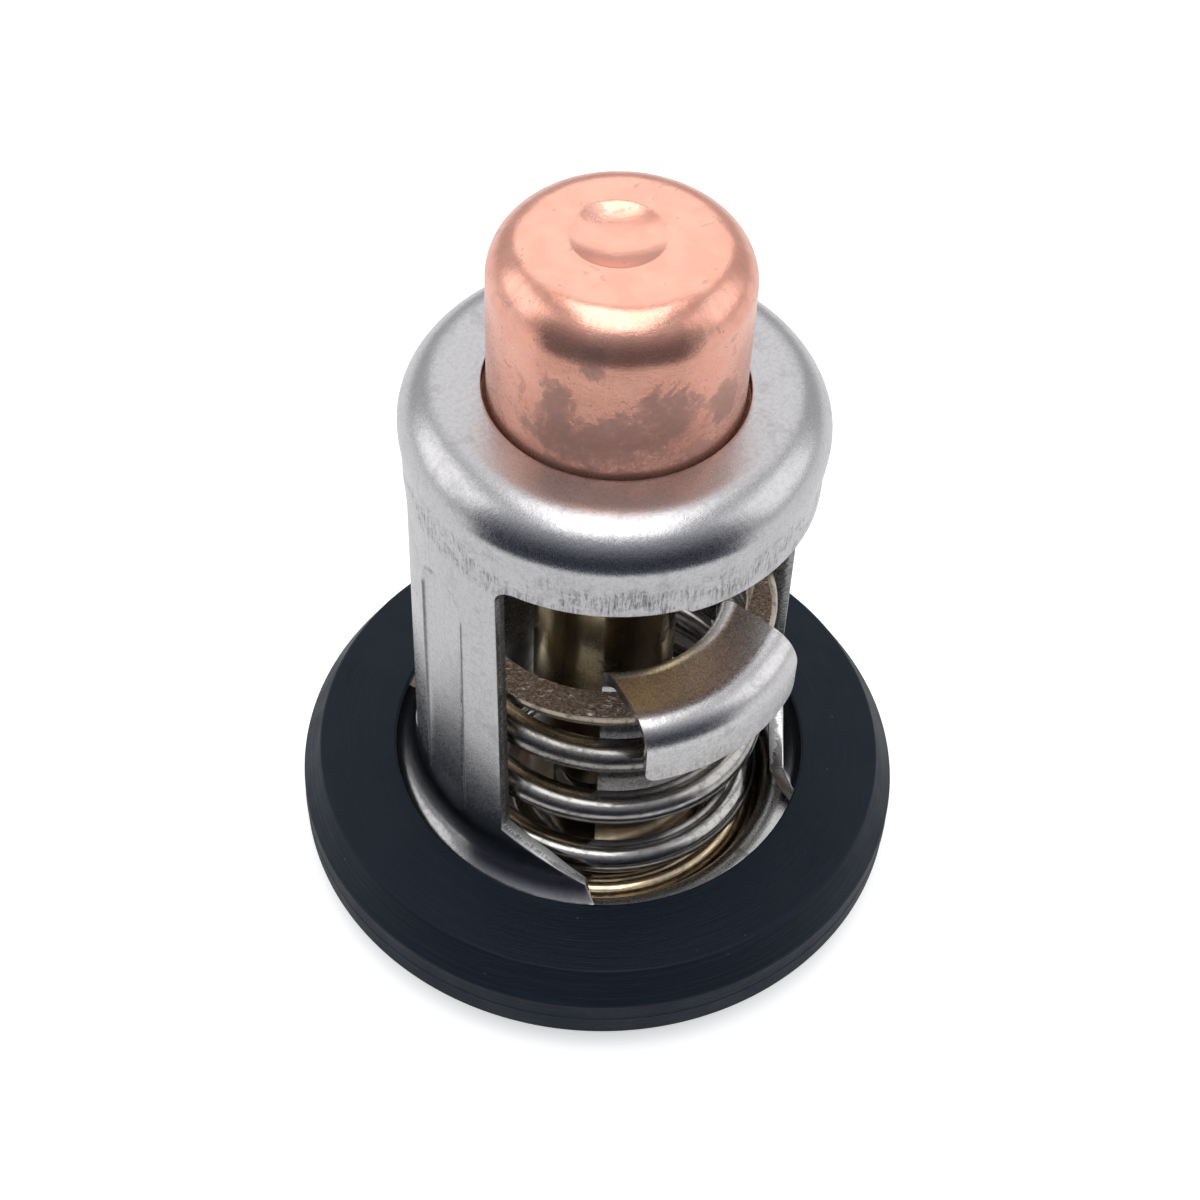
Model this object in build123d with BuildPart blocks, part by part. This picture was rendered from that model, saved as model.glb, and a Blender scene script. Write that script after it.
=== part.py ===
from build123d import *
import os
from math import asin, cos, degrees, radians, sin, sqrt

# Wax-element engine thermostat: a drawn sheet cage stands in a rubber sealing ring, the wax
# element is seated under the top of the cage, and a coil spring holds the valve disc shut
# from below through a two-armed yoke. Millimetres, +Z up along the axis. The origin is the
# centre of the ring's underside, and the cage windows face -Y and +Y.

# ---- rubber sealing ring ----
ring_r = 20.0            # outer radius of the upright band
ring_height = 7.3        # underside to top face
ring_band = 2.9          # height of the upright band
ring_slope = 1.3         # radial width of the slopes above and below the band
lip_gap = 1.4            # cage wall to the inner edge of the upper lip
ring_edge_r = 0.25       # moulded edge rounding

# ---- drawn cage ----
cage_gap = 0.55          # coils to the inside of the wall
cage_sheet = 1.0
cage_top = 40.0          # top face
cap_round = 2.6          # outer rounding of the cap
guide_hole_r = 7.65      # hole that the cup stands in
flare_r = 2.8            # upper radius between wall and flange
flange_width = 1.5       # flat flange outside the flare
lip_depth = 0.9          # rubber over the cage flange

# ---- windows in the cage ----
window_half_angle = 68.5
window_head = 6.1        # cap top face down to the top of the windows
window_foot = 10.9       # lower corners, beside the legs
window_corner_r = 1.3
window_step = 0.35       # the two punch strokes meet with this step in the top edge
window_step_angle = -16.0    # where they meet, from the middle of the window
notch_half_width = 8.1   # opening cut on down through the flare
notch_shoulder = 7.85    # height at which the sloping feet reach the notch
notch_lap = 0.25         # the notch runs on this far under the rubber lip
punch_clear = 1.0        # the punches pass this far beyond the sheet

# ---- pressed bead down each leg ----
bead_half_width = 1.95
bead_depth = 0.22
bead_head = 9.0          # cap top face down to the top of the bead
bead_foot = 9.6

# ---- seat pan under the cage ----
pan_sheet = 0.8
pan_wall_gap = 0.5       # spring to pan wall
pan_bend_r = 1.2         # rounding into the wall
pan_floor_top = 1.7      # face that carries the spring
seat_hole_gap = 0.4      # yoke arms to the edge of the valve opening
pan_bore_gap = 0.1       # pan bend to the rubber

# ---- valve disc ----
disc_sheet = 0.8
disc_lap = 1.5           # how far the disc reaches under the seat
boss_r = 5.0             # raised middle

# ---- yoke: base, two arms, two saddles over the spring ----
yoke_sheet = 0.8
yoke_arm_r = 8.0         # outer radius of the arms
yoke_top = 23.6
yoke_inner_bend = 0.9
yoke_outer_bend = 1.6
saddle_reach = 0.55      # the down-turned hooks stand out past the cage wall
hook_foot = 19.05
arm_half_width = 4.9
hook_half_width = 6.3
yoke_turn = 2.5          # degrees that the yoke sits turned in the windows
hook_corner_r = 0.7

# ---- coil spring ----
wire_r = 1.05
coil_gap = 0.65          # yoke arms to the coils
end_turns = 0.75         # closed turns at each end
lower_end_pitch = 1.1
upper_end_pitch = 1.6
active_turns = 3.45
lower_grind = 0.35       # ground off the end of the wire
upper_grind = 1.55
tip_angle = 20.0         # where the lower tip of the wire lies

# ---- wax element ----
cup_gap = 0.25           # cup to the hole in the cage
cup_top = 50.25
cup_wall = 0.6
cup_round = 2.0
cup_crown = 0.35         # rise of the end face at its middle
dimple_r = 3.0
dimple_depth = 0.55
dimple_shift = 0.5       # the punch mark lies off centre, towards +Y
rim_r = 9.3              # crimped rim
rim_height = 3.4
diaphragm_thick = 0.8
guide_flange = 1.4       # brass flange in the crimp
guide_neck_r = 4.5
guide_nose_r = 3.3
guide_neck_foot = 14.2
guide_nose_foot = 5.4
crimp_lap = 0.9          # rim turned in under the brass flange
nose_chamfer = 0.6

# ---- piston and what pushes it ----
piston_r = 1.5
bore_gap = 0.04          # running clearance, all sliding pieces
plug_r = 2.5
backup_thick = 1.0
piston_top = 30.0
stroke_room = 6.0        # bore below the backup disc
button_r = 3.0
button_head = 1.4
socket_depth = 0.7
swage_r = 2.3
swage_height = 0.6

# ---- worked out from the above ----
cup_r = guide_hole_r - cup_gap
coil_r = yoke_arm_r + coil_gap + wire_r
cage_bore_r = coil_r + wire_r + cage_gap
cage_r = cage_bore_r + cage_sheet
lip_r = cage_r + lip_gap
notch_end_r = lip_r + notch_lap
saddle_r = cage_r + saddle_reach
flange_top = ring_height - lip_depth
flange_foot = flange_top - cage_sheet
flare_centre_r = cage_r + flare_r
flare_centre_z = flange_top + flare_r
flange_r = flare_centre_r + flange_width
window_top = cage_top - window_head
bead_top = cage_top - bead_head
pan_flange_foot = flange_foot - pan_sheet
pan_wall_r = coil_r + wire_r + pan_wall_gap
pan_outer_r = pan_wall_r + pan_sheet
ring_bore_r = pan_outer_r + pan_bend_r + pan_bore_gap
seat_hole_r = yoke_arm_r + seat_hole_gap
pan_floor_foot = pan_floor_top - pan_sheet
disc_r = seat_hole_r + disc_lap
disc_foot = pan_floor_foot - disc_sheet
boss_top = pan_floor_top
yoke_base_top = boss_top + yoke_sheet
spring_top = yoke_top - yoke_sheet
cap_under = cage_top - cage_sheet
rim_top = cap_under
rim_foot = rim_top - rim_height
guide_flange_foot = rim_foot + cup_wall
guide_flange_top = guide_flange_foot + guide_flange
diaphragm_top = guide_flange_top + diaphragm_thick
guide_flange_r = rim_r - cup_wall
bore_r = piston_r + bore_gap
plug_bore_r = plug_r + bore_gap
plug_bore_foot = piston_top - stroke_room
button_top = yoke_base_top + button_head
piston_foot = button_top - socket_depth


def export_node(node, name):
    """Label a finished piece and write its STEP file."""
    node.part.label = name
    export_step(node.part, f"parts/{name}.step")


os.makedirs("parts", exist_ok=True)

# ---- sealing ring: sloped outside, grooved inside round the two flanges ----
band_foot = (ring_height - ring_band) / 2
flare_drop = sqrt(flare_r**2 - (flare_centre_r - lip_r) ** 2)
lip_point = (lip_r, flare_centre_z - flare_drop)
lip_angle = degrees(asin((flare_centre_r - lip_r) / flare_r))
with BuildPart() as seal_ring:
    with BuildSketch(Plane.XZ):
        with BuildLine():
            Polyline(
                lip_point,
                (lip_r, ring_height),
                (ring_r - ring_slope, ring_height),
                (ring_r, ring_height - band_foot),
                (ring_r, band_foot),
                (ring_r - ring_slope, 0),
                (ring_bore_r, 0),
                (ring_bore_r, pan_flange_foot),
                (flange_r, pan_flange_foot),
                (flange_r, flange_top),
                (flare_centre_r, flange_top),
            )
            CenterArc((flare_centre_r, flare_centre_z), flare_r, 270, -lip_angle)
        make_face()
    revolve(axis=Axis.Z)
    outer_edges = seal_ring.edges().filter_by(GeomType.CIRCLE).filter_by(lambda e: e.radius > ring_r - 2 * ring_slope)
    fillet(outer_edges, ring_edge_r)
export_node(seal_ring, "seal_ring")

# ---- cage: one drawn sheet with a holed cap, two windows, two legs and a flange ----
with BuildPart() as cage:
    with BuildSketch(Plane.XZ):
        with BuildLine():
            Line((guide_hole_r, cage_top), (cage_r - cap_round, cage_top))
            CenterArc((cage_r - cap_round, cage_top - cap_round), cap_round, 90, -90)
            Line((cage_r, cage_top - cap_round), (cage_r, flare_centre_z))
            CenterArc((flare_centre_r, flare_centre_z), flare_r, 180, 90)
            Polyline(
                (flare_centre_r, flange_top),
                (flange_r, flange_top),
                (flange_r, flange_foot),
                (flare_centre_r, flange_foot),
            )
            CenterArc((flare_centre_r, flare_centre_z), flare_r + cage_sheet, 270, -90)
            Line((cage_bore_r, flare_centre_z), (cage_bore_r, cage_top - cap_round))
            CenterArc((cage_r - cap_round, cage_top - cap_round), cap_round - cage_sheet, 0, 90)
            Polyline(
                (cage_r - cap_round, cap_under),
                (guide_hole_r, cap_under),
                (guide_hole_r, cage_top),
            )
        make_face()
    revolve(axis=Axis.Z)

    # the windows: a sector between the legs, its top in two punch strokes
    for facing in (-90, 90):
        right_side = facing + window_half_angle
        left_side = facing - window_half_angle
        step_side = facing + window_step_angle
        for start, end, top in (
            (left_side, step_side, window_top),
            (step_side, right_side, window_top - window_step),
        ):
            with BuildSketch(Plane.XZ.rotated((0, 0, start))):
                with Locations((cage_r - cage_sheet / 2, (window_foot + top) / 2)):
                    Rectangle(cage_sheet + 2 * punch_clear, top - window_foot)
            revolve(axis=Axis.Z, revolution_arc=end - start, mode=Mode.SUBTRACT)

    # the feet of each window slope inwards to a notch that runs down through the flare
    leg_face = cage_r * cos(radians(window_half_angle))
    for side in (-1, 1):
        with BuildSketch(Plane.XZ.offset(-side * leg_face)):
            foot_half_width = cage_r * sin(radians(window_half_angle))
            with BuildLine():
                Polyline(
                    (-foot_half_width, window_foot + punch_clear),
                    (-foot_half_width, window_foot),
                    (-notch_half_width, notch_shoulder),
                    (-notch_half_width, flange_foot - punch_clear),
                    (notch_half_width, flange_foot - punch_clear),
                    (notch_half_width, notch_shoulder),
                    (foot_half_width, window_foot),
                    (foot_half_width, window_foot + punch_clear),
                    close=True,
                )
            make_face()
        extrude(amount=-side * (notch_end_r - leg_face), mode=Mode.SUBTRACT)

    # rounded window corners beside the legs
    corner_x = (cage_r - cage_sheet / 2) * sin(radians(window_half_angle))
    corners = cage.edges().filter_by(GeomType.LINE).filter_by(
        lambda e: e.length < 2 * cage_sheet
        and abs(e.center().Z - window_top) < 2 * window_step
        and abs(abs(e.center().X) - corner_x) < cage_sheet / 4
    )
    fillet(corners, window_corner_r)

    # pressed bead down the middle of each leg
    for side in (-1, 1):
        with BuildSketch(Plane.YZ.offset(side * (cage_r - bead_depth))):
            with BuildLine():
                Polyline(
                    (-bead_half_width, bead_top - bead_half_width),
                    (-bead_half_width, bead_foot),
                    (bead_half_width, bead_foot),
                    (bead_half_width, bead_top - bead_half_width),
                )
                ThreePointArc(
                    (bead_half_width, bead_top - bead_half_width),
                    (0, bead_top),
                    (-bead_half_width, bead_top - bead_half_width),
                )
            make_face()
        extrude(amount=side * 2 * bead_depth, mode=Mode.SUBTRACT)
export_node(cage, "cage")

# ---- seat pan: flange clamped under the cage, wall, and the floor that is the valve seat ----
with BuildPart() as seat_pan:
    pan_mid = pan_sheet / 2
    with BuildSketch(Plane.XZ):
        with BuildLine():
            FilletPolyline(
                (flange_r, flange_foot - pan_mid),
                (pan_wall_r + pan_mid, flange_foot - pan_mid),
                (pan_wall_r + pan_mid, pan_floor_top - pan_mid),
                (seat_hole_r, pan_floor_top - pan_mid),
                radius=pan_bend_r,
            )
        trace(line_width=pan_sheet)
    revolve(axis=Axis.Z)
export_node(seat_pan, "seat_pan")

# ---- valve disc: flat rim under the seat, raised boss in the middle ----
with BuildPart() as valve_disc:
    with BuildSketch(Plane.XZ):
        with BuildLine():
            Polyline(
                (piston_r, boss_top),
                (boss_r, boss_top),
                (boss_r + disc_sheet, pan_floor_foot),
                (disc_r, pan_floor_foot),
                (disc_r, disc_foot),
                (boss_r, disc_foot),
                (boss_r - disc_sheet, boss_top - disc_sheet),
                (piston_r, boss_top - disc_sheet),
                close=True,
            )
        make_face()
    revolve(axis=Axis.Z)
    rim = valve_disc.edges().filter_by(GeomType.CIRCLE).filter_by(lambda e: e.radius > boss_r + disc_sheet)
    fillet(rim, disc_sheet / 4)
export_node(valve_disc, "valve_disc")

# ---- yoke: a bent strip whose arms stand inside the spring and hook over its top ----
with BuildPart() as yoke:
    yoke_mid = yoke_sheet / 2
    with BuildSketch(Plane.XZ):
        with BuildLine():
            FilletPolyline(
                (piston_r, boss_top + yoke_mid),
                (yoke_arm_r - yoke_mid, boss_top + yoke_mid),
                (yoke_arm_r - yoke_mid, yoke_top - yoke_mid),
                (saddle_r - yoke_mid, yoke_top - yoke_mid),
                (saddle_r - yoke_mid, hook_foot),
                radius=(yoke_inner_bend, yoke_inner_bend, yoke_outer_bend),
            )
        trace(line_width=yoke_sheet)
    revolve(axis=Axis.Z)
    with BuildSketch(Plane.XY.rotated((0, 0, yoke_turn))):
        with BuildLine():
            Polyline(
                (arm_half_width, 0),
                (arm_half_width, yoke_arm_r - yoke_inner_bend),
                (hook_half_width, saddle_r + yoke_sheet),
                (0, saddle_r + yoke_sheet),
            )
            mirror(about=Plane.YZ)
            mirror(about=Plane.XZ)
        make_face()
    extrude(amount=yoke_top + yoke_sheet, mode=Mode.INTERSECT)
    hook_corners = yoke.edges().filter_by(
        lambda e: abs(e.center().Z - hook_foot) < yoke_sheet / 10 and e.length < 2 * yoke_sheet
    )
    fillet(hook_corners, hook_corner_r)
export_node(yoke, "yoke")

# ---- spring: left-handed coil, closed and ground flat at both ends ----
coil_foot = pan_floor_top + wire_r - lower_grind
coil_height = spring_top - wire_r + upper_grind - coil_foot
lower_rise = lower_end_pitch * end_turns
upper_rise = upper_end_pitch * end_turns
active_rise = coil_height - lower_rise - upper_rise
coil_path = []
turned = 0
risen = 0
for turns, rise in ((end_turns, lower_rise), (active_turns, active_rise), (end_turns, upper_rise)):
    helix = Helix(pitch=rise / turns, height=rise, radius=coil_r, lefthand=True)
    start = Pos(0, 0, coil_foot + risen) * Rot(0, 0, tip_angle - 360 * turned)
    coil_path.append((start * helix).edge())
    turned += turns
    risen += rise
coil_wire = Wire(coil_path)
with BuildPart() as spring:
    with BuildSketch(Plane(origin=coil_wire @ 0, z_dir=coil_wire % 0)):
        Circle(wire_r)
    sweep(path=coil_wire, is_frenet=True)
    with Locations((0, 0, pan_floor_top)):
        Cylinder(
            coil_r + 2 * wire_r,
            spring_top - pan_floor_top,
            align=(Align.CENTER, Align.CENTER, Align.MIN),
            mode=Mode.INTERSECT,
        )
export_node(spring, "spring")

# ---- button riveted through the yoke and disc, with the socket for the piston ----
with BuildPart() as thrust_button:
    with BuildSketch(Plane.XZ):
        with BuildLine():
            Polyline(
                (0, piston_foot),
                (piston_r + bore_gap, piston_foot),
                (piston_r + bore_gap, button_top),
                (button_r - button_head / 3, button_top),
                (button_r, button_top - button_head / 3),
                (button_r, yoke_base_top),
                (piston_r, yoke_base_top),
                (piston_r, boss_top - disc_sheet),
                (swage_r, boss_top - disc_sheet),
                (swage_r - swage_height / 2, boss_top - disc_sheet - swage_height),
                (0, boss_top - disc_sheet - swage_height),
                close=True,
            )
        make_face()
    revolve(axis=Axis.Z)
export_node(thrust_button, "thrust_button")

# ---- copper cup: drawn, crowned end with a punch dimple, rim crimped round the guide ----
with BuildPart() as copper_cup:
    cup_corner_r = cup_r - cup_round
    cup_inner_r = cup_r - cup_wall
    with BuildSketch(Plane.XZ):
        with BuildLine():
            Spline(
                (0, cup_top + cup_crown),
                (cup_corner_r, cup_top),
                tangents=((1, 0), (1, -cup_crown / cup_corner_r)),
            )
            RadiusArc((cup_corner_r, cup_top), (cup_r, cup_top - cup_round), cup_round)
            Polyline(
                (cup_r, cup_top - cup_round),
                (cup_r, rim_top),
                (rim_r, rim_top),
                (rim_r, rim_foot),
                (rim_r - cup_wall - crimp_lap, rim_foot),
                (rim_r - cup_wall - crimp_lap, guide_flange_foot),
                (guide_flange_r, guide_flange_foot),
                (guide_flange_r, diaphragm_top),
                (cup_inner_r, diaphragm_top),
                (cup_inner_r, cup_top - cup_round),
                (cup_corner_r, cup_top - cup_wall - dimple_depth),
                (0, cup_top - cup_wall - dimple_depth),
                (0, cup_top + cup_crown),
            )
        make_face()
    revolve(axis=Axis.Z)
    dimple_ball_r = (dimple_r**2 + dimple_depth**2) / (2 * dimple_depth)
    with Locations((0, dimple_shift, cup_top + cup_crown - dimple_depth + dimple_ball_r)):
        Sphere(dimple_ball_r, mode=Mode.SUBTRACT)
export_node(copper_cup, "copper_cup")

# ---- wax charge filling the cup ----
with BuildPart() as wax_charge:
    with BuildSketch(Plane.XZ):
        with BuildLine():
            Polyline(
                (0, diaphragm_top),
                (cup_inner_r, diaphragm_top),
                (cup_inner_r, cup_top - cup_round),
                (cup_corner_r, cup_top - cup_wall - dimple_depth),
                (0, cup_top - cup_wall - dimple_depth),
                close=True,
            )
        make_face()
    revolve(axis=Axis.Z)
export_node(wax_charge, "wax_charge")

# ---- diaphragm clamped between cup and guide ----
with BuildPart() as diaphragm:
    with BuildSketch(Plane.XY.offset(guide_flange_top)):
        Circle(guide_flange_r)
    extrude(amount=diaphragm_thick)
export_node(diaphragm, "diaphragm")

# ---- brass guide: flange in the crimp, neck, nose, and the stepped bore ----
with BuildPart() as brass_guide:
    with BuildSketch(Plane.XZ):
        with BuildLine():
            Polyline(
                (bore_r, guide_nose_foot),
                (guide_nose_r, guide_nose_foot),
                (guide_nose_r, guide_neck_foot - (guide_neck_r - guide_nose_r)),
                (guide_neck_r, guide_neck_foot),
                (guide_neck_r, guide_flange_foot),
                (guide_flange_r, guide_flange_foot),
                (guide_flange_r, guide_flange_top),
                (plug_bore_r, guide_flange_top),
                (plug_bore_r, plug_bore_foot),
                (bore_r, plug_bore_foot),
                close=True,
            )
        make_face()
    revolve(axis=Axis.Z)
    nose_edge = brass_guide.edges().filter_by(GeomType.CIRCLE).group_by(Axis.Z)[0].sort_by(SortBy.RADIUS)[-1]
    chamfer(nose_edge, nose_chamfer)
export_node(brass_guide, "brass_guide")

# ---- piston, backup disc and plug, one above the other in the bore ----
with BuildPart() as piston:
    with BuildSketch(Plane.XY.offset(piston_foot)):
        Circle(piston_r)
    extrude(amount=piston_top - piston_foot)
    fillet(piston.edges().group_by(Axis.Z)[0], piston_r / 4)
export_node(piston, "piston")

with BuildPart() as backup_disc:
    with BuildSketch(Plane.XY.offset(piston_top)):
        Circle(plug_r)
    extrude(amount=backup_thick)
export_node(backup_disc, "backup_disc")

with BuildPart() as rubber_plug:
    with BuildSketch(Plane.XY.offset(piston_top + backup_thick)):
        Circle(plug_r)
    extrude(amount=guide_flange_top - piston_top - backup_thick)
export_node(rubber_plug, "rubber_plug")
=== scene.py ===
import logging
import math
from collections.abc import Sequence
from dataclasses import dataclass, field
from enum import Enum

import bmesh
import bpy
from mathutils import Matrix, Quaternion, Vector


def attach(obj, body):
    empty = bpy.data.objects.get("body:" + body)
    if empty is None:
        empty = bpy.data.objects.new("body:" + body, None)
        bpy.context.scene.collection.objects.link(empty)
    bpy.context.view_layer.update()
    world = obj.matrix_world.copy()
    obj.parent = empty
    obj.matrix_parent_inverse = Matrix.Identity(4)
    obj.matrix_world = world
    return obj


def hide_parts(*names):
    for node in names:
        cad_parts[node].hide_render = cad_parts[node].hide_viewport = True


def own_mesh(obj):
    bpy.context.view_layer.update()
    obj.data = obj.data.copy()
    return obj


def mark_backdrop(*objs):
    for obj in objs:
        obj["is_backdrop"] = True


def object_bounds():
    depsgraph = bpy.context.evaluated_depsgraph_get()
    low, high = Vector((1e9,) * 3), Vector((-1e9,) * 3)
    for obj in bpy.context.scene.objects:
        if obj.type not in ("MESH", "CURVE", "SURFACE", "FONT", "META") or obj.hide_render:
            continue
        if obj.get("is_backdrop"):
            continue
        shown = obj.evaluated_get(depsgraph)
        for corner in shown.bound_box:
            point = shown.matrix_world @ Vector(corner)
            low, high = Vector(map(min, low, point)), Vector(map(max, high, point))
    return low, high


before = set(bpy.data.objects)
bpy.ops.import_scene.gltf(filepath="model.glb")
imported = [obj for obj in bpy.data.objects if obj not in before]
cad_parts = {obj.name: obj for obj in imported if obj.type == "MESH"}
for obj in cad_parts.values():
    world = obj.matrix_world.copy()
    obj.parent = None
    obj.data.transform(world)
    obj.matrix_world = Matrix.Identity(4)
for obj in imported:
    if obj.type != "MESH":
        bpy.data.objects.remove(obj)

log = logging.getLogger("thermostat")

MM = 0.001
Pair = tuple[float, float]
Colour = tuple[float, float, float]
Socket = bpy.types.NodeSocket
Material = bpy.types.Material
Shape = bmesh.types.BMesh
Value = float | Socket


class Body(Enum):
    """The two bodies of the mechanism."""

    HOUSING = "housing"
    VALVE = "valve"


class Side(Enum):
    """Material slots of a sheet metal piece."""

    SKIN = 0
    CUT = 1


# ---------------------------------------------------------------- outlines


@dataclass(frozen=True)
class Corner:
    """One corner of a turned outline, in millimetres.

    Args:
        r: distance from the axis.
        z: height.
        radius: rounding of the corner, 0 for a sharp one.
    """

    r: float
    z: float
    radius: float = 0.0


def smoothstep(low: float, high: float, value: float) -> float:
    """Ease from 0 at low to 1 at high.

    Args:
        low: value at which the result leaves 0.
        high: value at which the result reaches 1.
        value: the value asked for.

    Returns:
        The eased share, 0 to 1.
    """
    share = min(1.0, max(0.0, (value - low) / (high - low)))
    return share * share * (3.0 - 2.0 * share)


def spread(start: float, end: float, count: int) -> list[float]:
    """Evenly spaced values from start up to, and without, end.

    Args:
        start: first value.
        end: value that the list stops short of.
        count: how many values.

    Returns:
        The list of values.
    """
    return [start + (end - start) * k / count for k in range(count)]


def rounded(corners: Sequence[Corner], closed: bool, step: float = 9.0, run: float = 2.0) -> list[Pair]:
    """Round the corners of an outline and divide its long runs.

    Args:
        corners: the outline's corners in order.
        closed: whether the last corner joins the first.
        step: largest turn between two points of an arc, in degrees.
        run: longest undivided straight run, in millimetres.

    Returns:
        Points along the outline, each (r, z) in millimetres.
    """
    count = len(corners)
    pieces: list[list[Vector]] = []
    for k, corner in enumerate(corners):
        here = Vector((corner.r, corner.z))
        if corner.radius <= 0 or (not closed and k in (0, count - 1)):
            pieces.append([here])
            continue
        before = Vector((corners[k - 1].r, corners[k - 1].z)) - here
        after = Vector((corners[(k + 1) % count].r, corners[(k + 1) % count].z)) - here
        before.normalize()
        after.normalize()
        opening = before.angle(after)
        reach = corner.radius / math.tan(opening / 2)
        middle = here + (before + after).normalized() * (corner.radius / math.sin(opening / 2))
        start = here + before * reach - middle
        turn = math.pi - opening
        if start.y * before.x - start.x * before.y < 0:
            turn = -turn
        steps = max(2, math.ceil(math.degrees(abs(turn)) / step))
        arc = []
        for n in range(steps + 1):
            swing = Matrix.Rotation(turn * n / steps, 2)
            arc.append(middle + swing @ start)
        pieces.append(arc)
    points: list[Vector] = []
    links = count if closed else count - 1
    for k in range(count):
        points.extend(pieces[k])
        if k >= links:
            continue
        start, end = pieces[k][-1], pieces[(k + 1) % count][0]
        length = (end - start).length
        parts = max(1, math.ceil(length / run))
        guard = min(0.04, length / 4)
        shares = [n / parts for n in range(1, parts)]
        if length > 0.2:
            shares = sorted([guard / length, 1 - guard / length, *shares])
        points.extend(start.lerp(end, share) for share in shares)
    return [(p.x, p.y) for p in points]


def turned(outline: Sequence[Pair], closed: bool, steps: int = 256) -> Shape:
    """Turn an outline round the axis.

    Args:
        outline: points (r, z) in millimetres.
        closed: whether the last point joins the first.
        steps: how many sides the turned piece has.

    Returns:
        A closed mesh in millimetres.
    """
    bm = bmesh.new()
    verts = [bm.verts.new((r, 0.0, z)) for r, z in outline]
    pairs = list(zip(verts, verts[1:]))
    if closed:
        pairs.append((verts[-1], verts[0]))
    edges = [bm.edges.new(pair) for pair in pairs]
    bmesh.ops.spin(
        bm,
        geom=verts + edges,
        cent=(0, 0, 0),
        axis=(0, 0, 1),
        angle=math.tau,
        steps=steps,
        use_merge=True,
    )
    bmesh.ops.remove_doubles(bm, verts=bm.verts, dist=0.0002)
    bmesh.ops.recalc_face_normals(bm, faces=bm.faces)
    return bm


def second_half(bm: Shape, merge: float) -> None:
    """Add the other half of a sheet metal piece, half a turn away.

    Args:
        bm: the mesh of one half.
        merge: distance within which points are merged, in millimetres.
    """
    half = bmesh.ops.duplicate(bm, geom=bm.verts[:] + bm.edges[:] + bm.faces[:])
    verts = [item for item in half["geom"] if isinstance(item, bmesh.types.BMVert)]
    bmesh.ops.rotate(bm, cent=(0, 0, 0), matrix=Matrix.Rotation(math.pi, 3, "Z"), verts=verts)
    bmesh.ops.remove_doubles(bm, verts=bm.verts, dist=merge)


def ease_rims(bm: Shape, radius: float) -> None:
    """Round the rims where the skins of a sheet metal piece meet its cut edge.

    Args:
        bm: the mesh.
        radius: size of the rounding, in millimetres.
    """
    bmesh.ops.recalc_face_normals(bm, faces=bm.faces)
    rims = [e for e in bm.edges if len({f.material_index for f in e.link_faces}) == 2]
    bmesh.ops.bevel(
        bm,
        geom=rims,
        offset=radius,
        offset_type="OFFSET",
        segments=3,
        profile=0.5,
        affect="EDGES",
        material=-1,
        clamp_overlap=True,
    )


def placed(bm: Shape, name: str) -> bpy.types.Object:
    """Put a finished mesh into the scene.

    Args:
        bm: the mesh, which is freed.
        name: the object's name.

    Returns:
        The object.
    """
    mesh = bpy.data.meshes.new(name)
    bm.to_mesh(mesh)
    bm.free()
    piece = bpy.data.objects.new(name, mesh)
    bpy.context.scene.collection.objects.link(piece)
    return piece


# ---------------------------------------------------------------- finishes


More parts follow.
